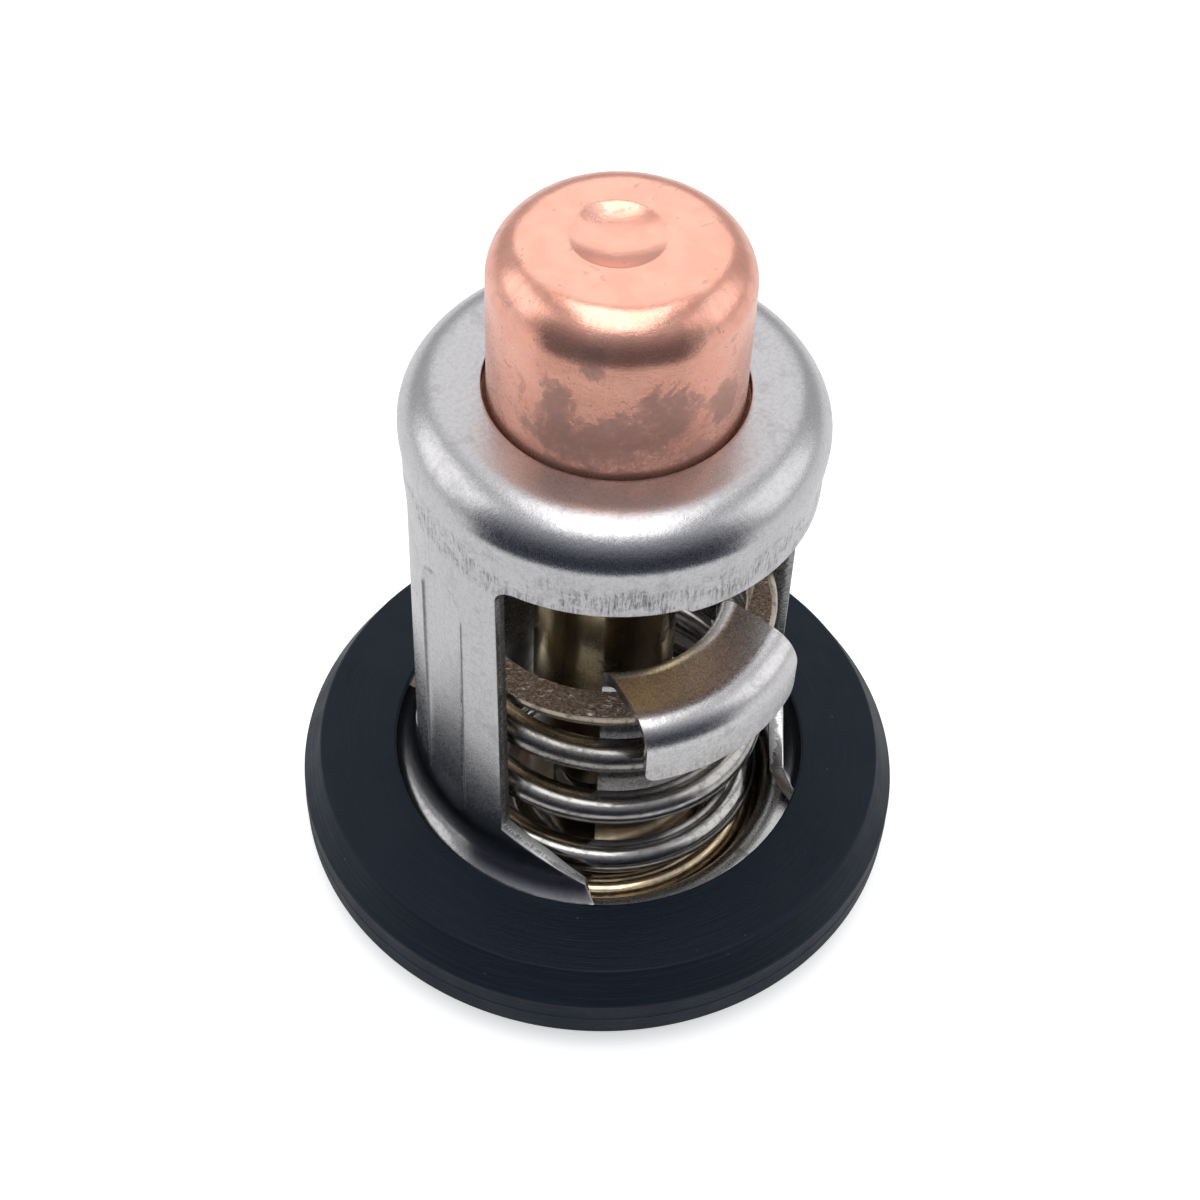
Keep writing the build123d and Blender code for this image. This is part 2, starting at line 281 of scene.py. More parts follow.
class Finish:
    """The node tree of one material, written node by node."""

    def __init__(self, name: str) -> None:
        """Start the tree with its shader and its coordinates in millimetres.

        Args:
            name: the material's name.
        """
        self.material = bpy.data.materials.new(name)
        self.material.use_nodes = True
        self.tree = self.material.node_tree
        self.tree.nodes.clear()
        self.shader = self.tree.nodes.new("ShaderNodeBsdfPrincipled")
        output = self.tree.nodes.new("ShaderNodeOutputMaterial")
        self.tree.links.new(self.shader.outputs["BSDF"], output.inputs["Surface"])
        coords = self.tree.nodes.new("ShaderNodeTexCoord")
        self.place = self.scaled(coords.outputs["Object"], 1 / MM)
        self.x, self.y, self.z = self.split(self.place)
        squares = self.total(self.product(self.x, self.x), self.product(self.y, self.y))
        self.r = self.math("SQRT", squares)
        around = self.vector("NORMALIZE", self.join(self.x, self.y, 0.0))
        self.cos, self.sin, _ = self.split(around)

    def feed(self, socket: Socket, value: Value | Colour) -> None:
        """Link or set an input.

        Args:
            socket: the input.
            value: a socket to link, or a value to set.
        """
        if isinstance(value, Socket):
            self.tree.links.new(value, socket)
        elif isinstance(value, tuple) and socket.type == "RGBA":
            socket.default_value = (*value, 1.0)
        else:
            socket.default_value = value

    def math(self, operation: str, a: Value, b: Value = 0.0, clamp: bool = False) -> Socket:
        """Add a Math node.

        Args:
            operation: the node's operation.
            a: first input.
            b: second input.
            clamp: whether the result is kept between 0 and 1.

        Returns:
            The result.
        """
        node = self.tree.nodes.new("ShaderNodeMath")
        node.operation = operation
        node.use_clamp = clamp
        self.feed(node.inputs[0], a)
        self.feed(node.inputs[1], b)
        return node.outputs[0]

    def product(self, *factors: Value) -> Socket:
        """Multiply values.

        Args:
            *factors: two values or more.

        Returns:
            Their product.
        """
        result = factors[0]
        for factor in factors[1:]:
            result = self.math("MULTIPLY", result, factor)
        return result

    def total(self, *terms: Value, clamp: bool = False) -> Socket:
        """Add values up.

        Args:
            *terms: two values or more.
            clamp: whether the sum is kept between 0 and 1.

        Returns:
            Their sum.
        """
        result = terms[0]
        for k, term in enumerate(terms[1:], start=2):
            result = self.math("ADD", result, term, clamp=clamp and k == len(terms))
        return result

    def most(self, *values: Value) -> Socket:
        """Find the largest of some values.

        Args:
            *values: two values or more.

        Returns:
            The largest.
        """
        result = values[0]
        for value in values[1:]:
            result = self.math("MAXIMUM", result, value)
        return result

    def vector(self, operation: str, a: Socket, b: Value | Colour = (0.0, 0.0, 0.0)) -> Socket:
        """Add a Vector Math node.

        Args:
            operation: the node's operation.
            a: first vector.
            b: second vector.

        Returns:
            The resulting vector.
        """
        node = self.tree.nodes.new("ShaderNodeVectorMath")
        node.operation = operation
        self.feed(node.inputs[0], a)
        self.feed(node.inputs[1], b)
        return node.outputs["Vector"]

    def scaled(self, vector: Socket, factor: float) -> Socket:
        """Scale a vector.

        Args:
            vector: the vector.
            factor: what it is multiplied by.

        Returns:
            The scaled vector.
        """
        return self.vector("MULTIPLY", vector, (factor, factor, factor))

    def split(self, vector: Socket) -> tuple[Socket, ...]:
        """Split a vector.

        Args:
            vector: the vector.

        Returns:
            Its three parts.
        """
        node = self.tree.nodes.new("ShaderNodeSeparateXYZ")
        self.feed(node.inputs[0], vector)
        return tuple(node.outputs)

    def join(self, x: Value, y: Value, z: Value) -> Socket:
        """Join three values to a vector.

        Args:
            x: first part.
            y: second part.
            z: third part.

        Returns:
            The vector.
        """
        node = self.tree.nodes.new("ShaderNodeCombineXYZ")
        for socket, value in zip(node.inputs, (x, y, z)):
            self.feed(socket, value)
        return node.outputs[0]

    def polar(self, around: float, out: float, up: float) -> Socket:
        """Coordinates round the axis, without a seam.

        Args:
            around: how fast the pattern changes round the axis.
            out: how fast it changes with the distance from the axis, per millimetre.
            up: how fast it changes with height, per millimetre.

        Returns:
            A vector for a noise texture.
        """
        lift = self.total(self.product(self.z, up), self.product(self.r, out))
        return self.join(self.product(self.cos, around), self.product(self.sin, around), lift)

    def noise(
        self, vector: Socket, scale: float, detail: float = 3.0, rough: float = 0.5, warp: float = 0.0
    ) -> Socket:
        """Add a noise texture.

        Args:
            vector: where it is read.
            scale: patterns per unit of the vector.
            detail: octaves.
            rough: strength of the fine octaves.
            warp: distortion.

        Returns:
            The noise, about 0.3 to 0.7.
        """
        node = self.tree.nodes.new("ShaderNodeTexNoise")
        self.feed(node.inputs["Vector"], vector)
        node.inputs["Scale"].default_value = scale
        node.inputs["Detail"].default_value = detail
        node.inputs["Roughness"].default_value = rough
        node.inputs["Distortion"].default_value = warp
        return node.outputs[0]

    def cells(self, vector: Socket, scale: float) -> Socket:
        """Add a Voronoi texture.

        Args:
            vector: where it is read.
            scale: cells per unit of the vector.

        Returns:
            The distance to the nearest point.
        """
        node = self.tree.nodes.new("ShaderNodeTexVoronoi")
        self.feed(node.inputs["Vector"], vector)
        node.inputs["Scale"].default_value = scale
        return node.outputs["Distance"]

    def span(
        self, value: Value, low: Value, high: Value, start: Value = 0.0, end: Value = 1.0, smooth: bool = True
    ) -> Socket:
        """Map a range onto another.

        Args:
            value: what is mapped.
            low: value that gives start.
            high: value that gives end.
            start: result at low.
            end: result at high.
            smooth: whether the result eases in and out.

        Returns:
            The mapped value.
        """
        node = self.tree.nodes.new("ShaderNodeMapRange")
        node.interpolation_type = "SMOOTHSTEP" if smooth else "LINEAR"
        for k, item in enumerate((value, low, high, start, end)):
            self.feed(node.inputs[k], item)
        return node.outputs[0]

    def blend(self, share: Value, a: Socket | Colour, b: Socket | Colour) -> Socket:
        """Mix two colours.

        Args:
            share: 0 for a, 1 for b.
            a: first colour.
            b: second colour.

        Returns:
            The mixed colour.
        """
        node = self.tree.nodes.new("ShaderNodeMix")
        node.data_type = "RGBA"
        self.feed(node.inputs[0], share)
        self.feed(node.inputs[6], a)
        self.feed(node.inputs[7], b)
        return node.outputs[2]

    def patch(self, azimuth: float, height: float, half: float, tall: float) -> Socket:
        """A rounded patch on a wall round the axis.

        Args:
            azimuth: its middle, in degrees from -Y towards +X.
            height: its middle, in millimetres.
            half: half of its width, in degrees.
            tall: half of its height, in millimetres.

        Returns:
            0 in its middle, 1 on its edge and more beyond it.
        """
        a = math.radians(azimuth)
        beside = self.product(self.sin, math.cos(a))
        ahead = self.product(self.cos, math.sin(a))
        near = self.math("SUBTRACT", beside, ahead)
        wide = self.product(self.total(near, 1.0), 2.0 / math.radians(half) ** 2)
        up = self.math("DIVIDE", self.math("SUBTRACT", self.z, height), tall)
        return self.total(wide, self.product(up, up))

    def relief(self, height: Socket, depth: float, below: Socket | None = None) -> Socket:
        """Add a Bump node.

        Args:
            height: the height, 0 to 1.
            depth: what 1 stands for, in millimetres.
            below: the normal that this relief lies on.

        Returns:
            The normal.
        """
        node = self.tree.nodes.new("ShaderNodeBump")
        node.inputs["Strength"].default_value = 1.0
        node.inputs["Distance"].default_value = depth * MM
        self.feed(node.inputs["Height"], height)
        if below is not None:
            self.feed(node.inputs["Normal"], below)
        return node.outputs[0]

    def dress(self, **inputs: Value | Colour) -> Material:
        """Set the shader's inputs.

        Args:
            **inputs: value per input, underscores standing for spaces.

        Returns:
            The finished material.
        """
        for name, value in inputs.items():
            self.feed(self.shader.inputs[name.replace("_", " ")], value)
        return self.material


@dataclass(frozen=True)
class Metal:
    """A bare metal with grain, smudges and fine scratches, and painted shade below a given height.

    Args:
        name: the material's name.
        colour: reflected colour where clean.
        stain: reflected colour where stained, and of the painted shade.
        rough: roughness where clean.
        grain: depth of the grain, in millimetres.
        stained: share of the surface that is stained, 0 to 1.
        shade_below: height below which painted shade darkens it, in millimetres.
    """

    name: str
    colour: Colour
    stain: Colour
    rough: float = 0.25
    grain: float = 0.002
    stained: float = 0.3
    shade_below: float = -9.0

    def material(self) -> Material:
        """Write the material.

        Returns:
            The material.
        """
        f = Finish(self.name)
        smudge = f.noise(f.place, 0.45, 4.0, 0.6, 0.6)
        stain = f.span(smudge, 0.62 - 0.25 * self.stained, 0.75 - 0.2 * self.stained)
        speck = f.span(f.cells(f.place, 1.7), 0.05, 0.16, 1.0, 0.0)
        # painted shade: the metal turns to the stain colour below a given height
        low_shade = f.span(f.z, self.shade_below, self.shade_below - 4.0)
        mask = f.most(f.product(stain, 0.8), f.product(speck, 0.35), low_shade)
        fine = f.noise(f.place, 11.0, 3.0, 0.7)
        lines = f.noise(f.polar(2.0, 9.0, 9.0), 1.6, 2.0, 0.6)
        rough = f.total(f.span(fine, 0.3, 0.7, self.rough - 0.05, self.rough + 0.09), f.product(mask, 0.18))
        return f.dress(
            Base_Color=f.blend(mask, self.colour, self.stain),
            Metallic=1.0,
            Roughness=rough,
            Normal=f.relief(f.total(f.product(fine, 0.6), lines), self.grain),
        )


@dataclass(frozen=True)
class SatinSteel:
    """Deep-drawn steel: satin grain, draw marks down the wall and smudges, with painted shade in the bead's
    creases, on the flared foot and on the flat end face.

    Args:
        name: the material's name.
        colour: reflected colour where clean.
        mark_low: height where the dark draw marks start, in millimetres.
        mark_high: height where they end.
        marks: how dark they are, 0 to 1.
        crease: how dark the painted shade along the bead's creases is.
        grain: depth of the grain, in millimetres.
        rough: lowest and highest roughness of the grain.
        flare: how dark the painted shade on the flared foot is.
        flare_top: height where that painted shade starts, in millimetres.
        wall_ends: heights between which marks run down the wall.
        bead_half: half of the distance between the bead's creases.
        bead_ends: heights between which painted shade lies in the creases.
        leg_skin: distance from the middle plane beyond which the legs' skin lies.
        flat: height where the flat end face starts, which is painted darker as painted shade.
    """

    name: str
    colour: Colour = (0.62, 0.605, 0.61)
    mark_low: float = 33.4
    mark_high: float = 37.2
    marks: float = 0.6
    crease: float = 0.85
    grain: float = 0.0065
    rough: Pair = (0.18, 0.30)
    flare: float = 0.5
    flare_top: float = 11.0
    wall_ends: Pair = (8.0, 37.6)
    bead_half: float = 2.0
    bead_ends: Pair = (9.6, 29.3)
    leg_skin: float = 11.6
    flat: float = 39.7

    def material(self) -> Material:
        """Write the material.

        Returns:
            The material.
        """
        f = Finish(self.name)
        grain = f.noise(f.place, 9.0, 4.0, 0.75)
        coarse = f.noise(f.place, 3.4, 4.0, 0.7)
        cloud = f.noise(f.place, 0.5, 4.0, 0.6, 0.4)
        streak = f.noise(f.polar(34.0, 0.25, 0.16), 1.0, 3.0, 0.75)
        hair = f.noise(f.polar(80.0, 0.9, 0.75), 1.0, 4.0, 0.8)
        broken = f.noise(f.polar(4.0, 0.5, 0.5), 1.0, 4.0, 0.75)
        low, high = self.wall_ends
        wall = f.product(f.span(f.z, low, low + 2.0), f.span(f.z, high, high - 1.2))
        band = f.product(
            f.span(f.z, self.mark_low - 0.3, self.mark_low + 0.6),
            f.span(f.z, self.mark_high, self.mark_high - 1.6),
        )
        lines = f.product(f.span(streak, 0.42, 0.66), wall)
        scuffs = f.product(f.span(hair, 0.42, 0.66), band, f.span(broken, 0.42, 0.60, 0.0, 1.45))
        pits = f.span(f.cells(f.place, 2.3), 0.03, 0.11, 1.0, 0.0)
        # painted shade along both creases of the pressed bead
        aside = f.math("ABSOLUTE", f.math("SUBTRACT", f.math("ABSOLUTE", f.y), self.bead_half))
        foot, head = self.bead_ends
        crease = f.product(
            f.span(aside, 0.22, 0.04),
            f.span(f.math("ABSOLUTE", f.x), self.leg_skin - 0.4, self.leg_skin),
            f.span(f.z, head, head - 0.7),
            f.span(f.z, foot, foot + 1.6),
        )
        dirt_and_shade = f.total(
            f.product(lines, 0.07),
            f.product(scuffs, self.marks),
            f.product(pits, 0.22),
            f.span(cloud, 0.5, 0.72, 0.0, 0.16),
            f.span(coarse, 0.38, 0.64, -0.05, 0.13),
            f.product(crease, self.crease),
            clamp=True,
        )
        # painted shade: the flat end face darker, and the flared foot darker towards the floor
        dirt_and_shade = f.total(
            dirt_and_shade,
            f.product(f.span(f.z, self.flat, self.flat + 0.25), 0.24),
            f.span(f.z, self.flare_top, self.flare_top - 1.8, 0.0, self.flare),
            clamp=True,
        )
        smooth = f.span(f.z, self.flare_top - 2.0, self.flare_top + 1.5, 0.45, 1.0)
        dark = tuple(c * 0.34 for c in self.colour)
        rough = f.product(f.total(f.span(grain, 0.3, 0.7, *self.rough), f.product(dirt_and_shade, 0.25)), smooth)
        height = f.total(grain, f.product(coarse, 1.4), f.product(hair, wall, 0.8))
        waves = f.relief(f.noise(f.place, 0.35, 2.0), 0.03)
        return f.dress(
            Base_Color=f.blend(dirt_and_shade, self.colour, dark),
            Metallic=1.0,
            Roughness=rough,
            Normal=f.relief(f.product(height, smooth), self.grain, waves),
        )


@dataclass(frozen=True)
class ShearedEdge:
    """The edge left by a punch: a burnished strip, then a torn one, with marks across the sheet, and a
    painted highlight near the sheet's foot.

    Args:
        name: the material's name.
        inner: radius of the far skin, in millimetres.
        outer: radius of the skin that the punch entered.
        colour: reflected colour.
        bright: colour of the painted highlight near the sheet's foot.
        bright_low: height below which the edge is painted as a highlight, in millimetres.
        bright_high: height above which it has its usual colour.
    """

    name: str
    inner: float
    outer: float
    colour: Colour = (0.5, 0.49, 0.49)
    bright: Colour = (0.86, 0.85, 0.84)
    bright_low: float = 9.5
    bright_high: float = 12.0

    def material(self) -> Material:
        """Write the material.

        Returns:
            The material.
        """
        f = Finish(self.name)
        marks = f.noise(f.polar(60.0, 0.12, 5.0), 1.0, 3.0, 0.7)
        depth = f.span(f.r, self.inner, self.outer, smooth=False)
        torn = f.span(f.total(depth, f.span(marks, 0.3, 0.7, -0.16, 0.16)), 0.62, 0.42)
        pits = f.noise(f.place, 13.0, 4.0, 0.8)
        shade = f.product(torn, f.span(pits, 0.35, 0.65, 0.45, 0.9))
        shade = f.total(shade, f.span(marks, 0.45, 0.62, 0.0, 0.4), clamp=True)
        # painted highlight: the edge turns paler and less dark towards the sheet's foot
        low = f.span(f.z, self.bright_high, self.bright_low)
        shade = f.product(shade, f.span(f.z, self.bright_high, self.bright_low, 1.0, 0.25))
        dark = tuple(c * 0.22 for c in self.colour)
        pale = f.blend(low, self.colour, self.bright)
        height = f.total(f.product(marks, 0.7), f.product(pits, torn))
        return f.dress(
            Base_Color=f.blend(shade, pale, dark),
            Metallic=1.0,
            Roughness=f.span(torn, 0.0, 1.0, 0.27, 0.55),
            Normal=f.relief(height, 0.035),
        )


@dataclass(frozen=True)
class WornCopper:
    """Drawn copper: salmon metal with grey-brown oxide blotches, specks and hairline scratches, and painted
    shade towards its foot.

    Args:
        name: the material's name.
        clean: reflected colour of the clean metal.
        oxide: reflected colour of the blotches.
        foot: height where the loose flecks are thickest, and below which painted shade darkens the wall, in
            millimetres.
        head: height where they thin out.
        small: heights over which the small flecks thin out.
        face: radii between which the end face turns into the shoulder.
        wall_top: height where the wall turns into the shoulder.
        end: height where the shoulder has ended.
        spots: the blotches, each its azimuth, height, half width in degrees and half height.
    """

    name: str
    clean: Colour = (0.97, 0.495, 0.375)
    oxide: Colour = (0.56, 0.32, 0.265)
    foot: float = 41.5
    head: float = 46.5
    small: Pair = (41.0, 49.0)
    face: Pair = (4.6, 5.6)
    wall_top: float = 47.4
    end: float = 50.4
    spots: tuple[tuple[float, float, float, float], ...] = (
        (-50.0, 42.2, 25.0, 1.5),
        (-63.0, 44.3, 7.0, 1.9),
        (-31.0, 43.2, 15.0, 1.4),
        (-17.0, 44.1, 14.0, 1.9),
        (14.0, 43.4, 9.0, 1.4),
        (-48.0, 48.1, 5.0, 0.9),
        (135.0, 43.0, 22.0, 1.5),
        (70.0, 45.5, 7.0, 1.4),
        (-150.0, 42.6, 12.0, 1.3),
    )

    def material(self) -> Material:
        """Write the material.

        Returns:
            The material.
        """
        f = Finish(self.name)
        ragged = f.noise(f.vector("ADD", f.place, (3.1, 7.4, 1.7)), 0.8, 7.0, 0.8, 0.4)
        ragged = f.product(f.math("SUBTRACT", ragged, 0.5), 8.5)
        blotch = None
        for spot in self.spots:
            away = f.total(f.patch(*spot), ragged)
            blotch = away if blotch is None else f.math("MINIMUM", blotch, away)
        blotch = f.total(f.product(f.span(blotch, 1.45, 1.3), 0.5), f.product(f.span(blotch, 1.2, 0.6), 0.45))
        loose = f.noise(f.vector("ADD", f.place, (11.0, 2.0, 5.0)), 0.55, 6.0, 0.72, 0.6)
        loose = f.span(
            loose,
            f.span(f.z, self.foot, self.head, 0.545, 0.60),
            f.span(f.z, self.foot, self.head, 0.575, 0.63),
        )
        small = f.noise(f.polar(11.0, 1.5, 2.4), 1.0, 6.0, 0.8, 0.3)
        small = f.span(small, f.span(f.z, *self.small, 0.55, 0.62), f.span(f.z, *self.small, 0.60, 0.67))
        side = f.span(f.r, *self.face)
        above = f.span(f.z, self.wall_top, self.wall_top + 1.2)
        shoulder = f.product(above, f.span(f.z, self.end, self.end - 0.5), side)
        mottle = f.product(f.span(f.noise(f.polar(9.0, 1.0, 1.6), 1.0, 5.0, 0.75), 0.42, 0.62), shoulder)
        specks = f.span(f.cells(f.vector("ADD", f.place, (5.0, 1.0, 2.0)), 1.35), 0.06, 0.15, 1.0, 0.0)
        specks = f.product(specks, f.span(f.noise(f.place, 0.9, 3.0, 0.6), 0.48, 0.6))
        mask = f.most(blotch, f.product(loose, 0.55), f.product(small, side, 0.55), f.product(mottle, 0.3))
        # painted shade: the wall darkens below foot, where the cup sinks into the cage
        mask = f.total(mask, f.span(f.z, self.foot + 0.1, self.foot - 1.5, 0.0, 0.22), clamp=True)
        mask = f.most(mask, f.product(specks, 0.7))
        mask = f.product(mask, f.span(f.noise(f.place, 2.2, 5.0, 0.75), 0.3, 0.55, 0.68, 1.0))
        tone = f.span(f.noise(f.place, 0.6, 3.0, 0.5), 0.35, 0.65)
        warm = f.blend(tone, self.clean, tuple(c * k for c, k in zip(self.clean, (0.97, 0.9, 0.88))))
        scratch = f.product(f.noise(f.polar(5.0, 6.0, 26.0), 1.0, 2.0, 0.8), side)
        grain = f.noise(f.place, 6.0, 4.0, 0.75)
        shine = f.span(f.z, self.wall_top - 0.2, self.wall_top + 1.0, 0.0, 0.05)
        rough = f.total(f.span(grain, 0.3, 0.7, 0.19, 0.29), f.product(mask, 0.2))
        dents = f.relief(f.noise(f.place, 0.42, 2.0, 0.45), 0.06)
        height = f.total(f.product(scratch, 0.8), grain)
        return f.dress(
            Base_Color=f.blend(mask, warm, self.oxide),
            Metallic=f.span(f.z, self.wall_top - 0.4, self.wall_top + 1.2, 0.70, 0.85),
            Roughness=f.math("SUBTRACT", rough, shine),
            Normal=f.relief(height, 0.008, dents),
        )


@dataclass(frozen=True)
class SpringWire:
    """Bright drawn wire, straw-coloured towards its ends, with painted shade that darkens its upper coils.

    Args:
        name: the material's name.
        colour: reflected colour of the bright wire.
        straw: reflected colour of the heat tint.
        dirt_and_shade: reflected colour of the grime and of the painted shade.
        tint_top: height where the lower tint has gone, in millimetres.
        tip: heights between which the upper end takes the tint.
        shade_band: heights between which painted shade darkens the wire.
    """

    name: str
    colour: Colour = (0.50, 0.485, 0.465)
    straw: Colour = (0.92, 0.70, 0.43)
    dirt_and_shade: Colour = (0.16, 0.14, 0.12)
    tint_top: float = 5.6
    tip: Pair = (20.6, 21.8)
    shade_band: Pair = (11.5, 14.5)

    def material(self) -> Material:
        """Write the material.

        Returns:
            The material.
        """
        f = Finish(self.name)
        cloud = f.noise(f.place, 0.5, 3.0, 0.6)
        tint = f.product(f.span(f.z, self.tint_top, self.tint_top - 2.4), f.span(cloud, 0.3, 0.6, 0.6, 1.0))
        share = f.most(tint, f.product(f.span(f.z, *self.tip), 0.5))
        draw = f.noise(f.polar(1.2, 11.0, 11.0), 1.0, 3.0, 0.8)
        grime_and_shade = f.span(f.noise(f.place, 1.3, 5.0, 0.7), 0.46, 0.68, 0.0, 0.5)
        # painted shade: the wire darkens with height in its upper coils, under the cap
        grime_and_shade = f.total(grime_and_shade, f.span(f.z, *self.shade_band, 0.0, 0.45), clamp=True)
        metal = f.blend(share, self.colour, self.straw)
        return f.dress(
            Base_Color=f.blend(grime_and_shade, metal, self.dirt_and_shade),
            Metallic=1.0,
            Roughness=f.total(f.span(draw, 0.3, 0.7, 0.12, 0.22), f.product(grime_and_shade, 0.16)),
            Normal=f.relief(draw, 0.006),
        )


@dataclass(frozen=True)
class GroundFace:
    """A face ground flat: crossing scratches that glint, stained brown, with painted glints as pale flecks.

    Args:
        name: the material's name.
        colour: reflected colour.
        stain: colour of the stain.
        glint_colour: colour of the painted glints.
    """

    name: str
    colour: Colour = (0.46, 0.35, 0.27)
    stain: Colour = (0.17, 0.115, 0.085)
    glint_colour: Colour = (0.95, 0.9, 0.8)

    def material(self) -> Material:
        """Write the material.

        Returns:
            The material.
        """
        f = Finish(self.name)
        first = f.noise(f.join(f.product(f.x, 14.0), f.product(f.y, 1.6), 0.0), 1.0, 2.0, 0.7)
        turn = f.total(f.product(f.x, 0.7), f.product(f.y, 0.7))
        other = f.math("SUBTRACT", f.product(f.x, 0.7), f.product(f.y, 0.7))
        second = f.noise(f.join(f.product(turn, 16.0), f.product(other, 2.0), 5.0), 1.0, 2.0, 0.7)
        glint = f.noise(f.place, 5.0, 4.0, 0.8)
        height = f.total(first, second, f.product(glint, 1.5))
        # painted glints: pale, less metallic flecks along the crossing scratches
        glint_lines = f.noise(f.join(f.product(turn, 7.0), f.product(other, 2.4), 1.0), 1.0, 3.0, 0.8, 0.8)
        painted_glint = f.product(f.span(glint_lines, 0.585, 0.63), f.span(f.noise(f.place, 0.6, 2.0), 0.42, 0.52))
        base = f.blend(f.span(glint, 0.4, 0.6), self.colour, self.stain)
        return f.dress(
            Base_Color=f.blend(painted_glint, base, self.glint_colour),
            Metallic=f.span(painted_glint, 0.0, 1.0, 1.0, 0.35),
            Roughness=f.span(second, 0.35, 0.65, 0.16, 0.4),
            Normal=f.relief(height, 0.10),
        )


@dataclass(frozen=True)
class MouldedRubber:
    """Blue-black rubber with fine turned lines on its faces and a little dust.

    Args:
        name: the material's name.
        colour: the rubber's colour.
        dust: colour of the dust.
        lines: depth of the turned lines, in millimetres.
        rough: roughness.
    """

    name: str
    colour: Colour = (0.0026, 0.0075, 0.0165)
    dust: Colour = (0.12, 0.13, 0.14)
    lines: float = 0.045
    rough: float = 0.46

    def material(self) -> Material:
        """Write the material.

        Returns:
            The material.
        """
        f = Finish(self.name)
        wide = f.noise(f.polar(1.4, 3.2, 3.2), 1.0, 3.0, 0.6)
        fine = f.noise(f.polar(2.2, 11.0, 11.0), 1.0, 3.0, 0.7)
        lines = f.total(f.product(wide, 0.5), fine)
        patch = f.noise(f.place, 0.25, 3.0, 0.6)
        dust = f.span(f.cells(f.place, 0.85), 0.035, 0.07, 1.0, 0.0)
        dust = f.product(dust, f.span(f.noise(f.place, 0.8, 2.0), 0.5, 0.6))
        pale = tuple(c * 2.1 for c in self.colour)
        mark = f.span(fine, 0.5, 0.7, 0.0, 0.8)
        base = f.blend(f.product(mark, f.span(patch, 0.35, 0.65, 0.3, 1.0)), self.colour, pale)
        return f.dress(
            Base_Color=f.blend(f.product(dust, 0.5), base, self.dust),
            Roughness=f.span(patch, 0.3, 0.7, self.rough - 0.05, self.rough + 0.08),
            Specular_IOR_Level=0.2,
            Normal=f.relief(lines, self.lines),
        )


@dataclass(frozen=True)
class Filling:
    """A dull sealed-in material with flow marks.

    Args:
        name: the material's name.
        colour: its colour.
        dark: its colour in the flow marks.
        rough: roughness.
        through: how far light spreads in it, 0 to 1.
    """

    name: str
    colour: Colour
    dark: Colour
    rough: float = 0.5
    through: float = 0.0

    def material(self) -> Material:
        """Write the material.

        Returns:
            The material.
        """
        f = Finish(self.name)
        flow = f.noise(f.polar(1.5, 0.8, 1.4), 1.2, 4.0, 0.6, 0.8)
        fine = f.noise(f.place, 6.0, 3.0, 0.6)
        return f.dress(
            Base_Color=f.blend(f.span(flow, 0.4, 0.65), self.colour, self.dark),
            Roughness=f.span(fine, 0.3, 0.7, self.rough - 0.06, self.rough + 0.1),
            Subsurface_Weight=self.through,
            Subsurface_Scale=0.001,
            Normal=f.relief(f.total(flow, f.product(fine, 0.4)), 0.02),
        )


# ---------------------------------------------------------------- pieces


@dataclass
class Piece:
    """A piece of the thermostat. Its mesh is written in millimetres and finished in metres.

    Args:
        name: the object's name.
        node: the CAD node that it stands for.
        slot: the record's material slot; not used.
        body: the body that it rides on.
    """

    name: str
    node: str
    slot: str
    body: Body

    def form(self) -> Shape:
        """Write the piece's mesh.

        Returns:
            A mesh in millimetres.
        """
        raise NotImplementedError

    def finishes(self) -> list[Material]:
        """Write the piece's materials.

        Returns:
            One material per slot of the mesh.
        """
        raise NotImplementedError

    def settle(self, piece: bpy.types.Object) -> None:
        """Anything that the finished piece still needs before it rides on its body.

        Args:
            piece: the finished object.
        """

    def build(self) -> bpy.types.Object:
        """Build, dress and seat the piece.

        Returns:
            The finished object.
        """
        bm = self.form()
        bmesh.ops.scale(bm, vec=(MM, MM, MM), verts=bm.verts)
        for face in bm.faces:
            face.smooth = True
        for edge in bm.edges:
            edge.smooth = edge.calc_face_angle(0.0) < math.radians(33)
        piece = placed(bm, self.name)
        for material in self.finishes():
            piece.data.materials.append(material)
        weights = piece.modifiers.new("flat faces stay flat", "WEIGHTED_NORMAL")
        weights.keep_sharp = True
        weights.weight = 60
        self.bake(piece)
        self.settle(piece)
        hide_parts(self.node)
        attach(piece, self.body.value)
        log.info("%s: %d faces, stands for %s", self.name, len(piece.data.polygons), self.node)
        return piece

    @staticmethod
    def bake(piece: bpy.types.Object) -> None:
        """Turn the piece's modifiers into its mesh.

        Args:
            piece: the object.
        """
        graph = bpy.context.evaluated_depsgraph_get()
        mesh = bpy.data.meshes.new_from_object(piece.evaluated_get(graph))
        piece.modifiers.clear()
        old = piece.data
        piece.data = mesh
        bpy.data.meshes.remove(old)
        mesh.name = piece.name


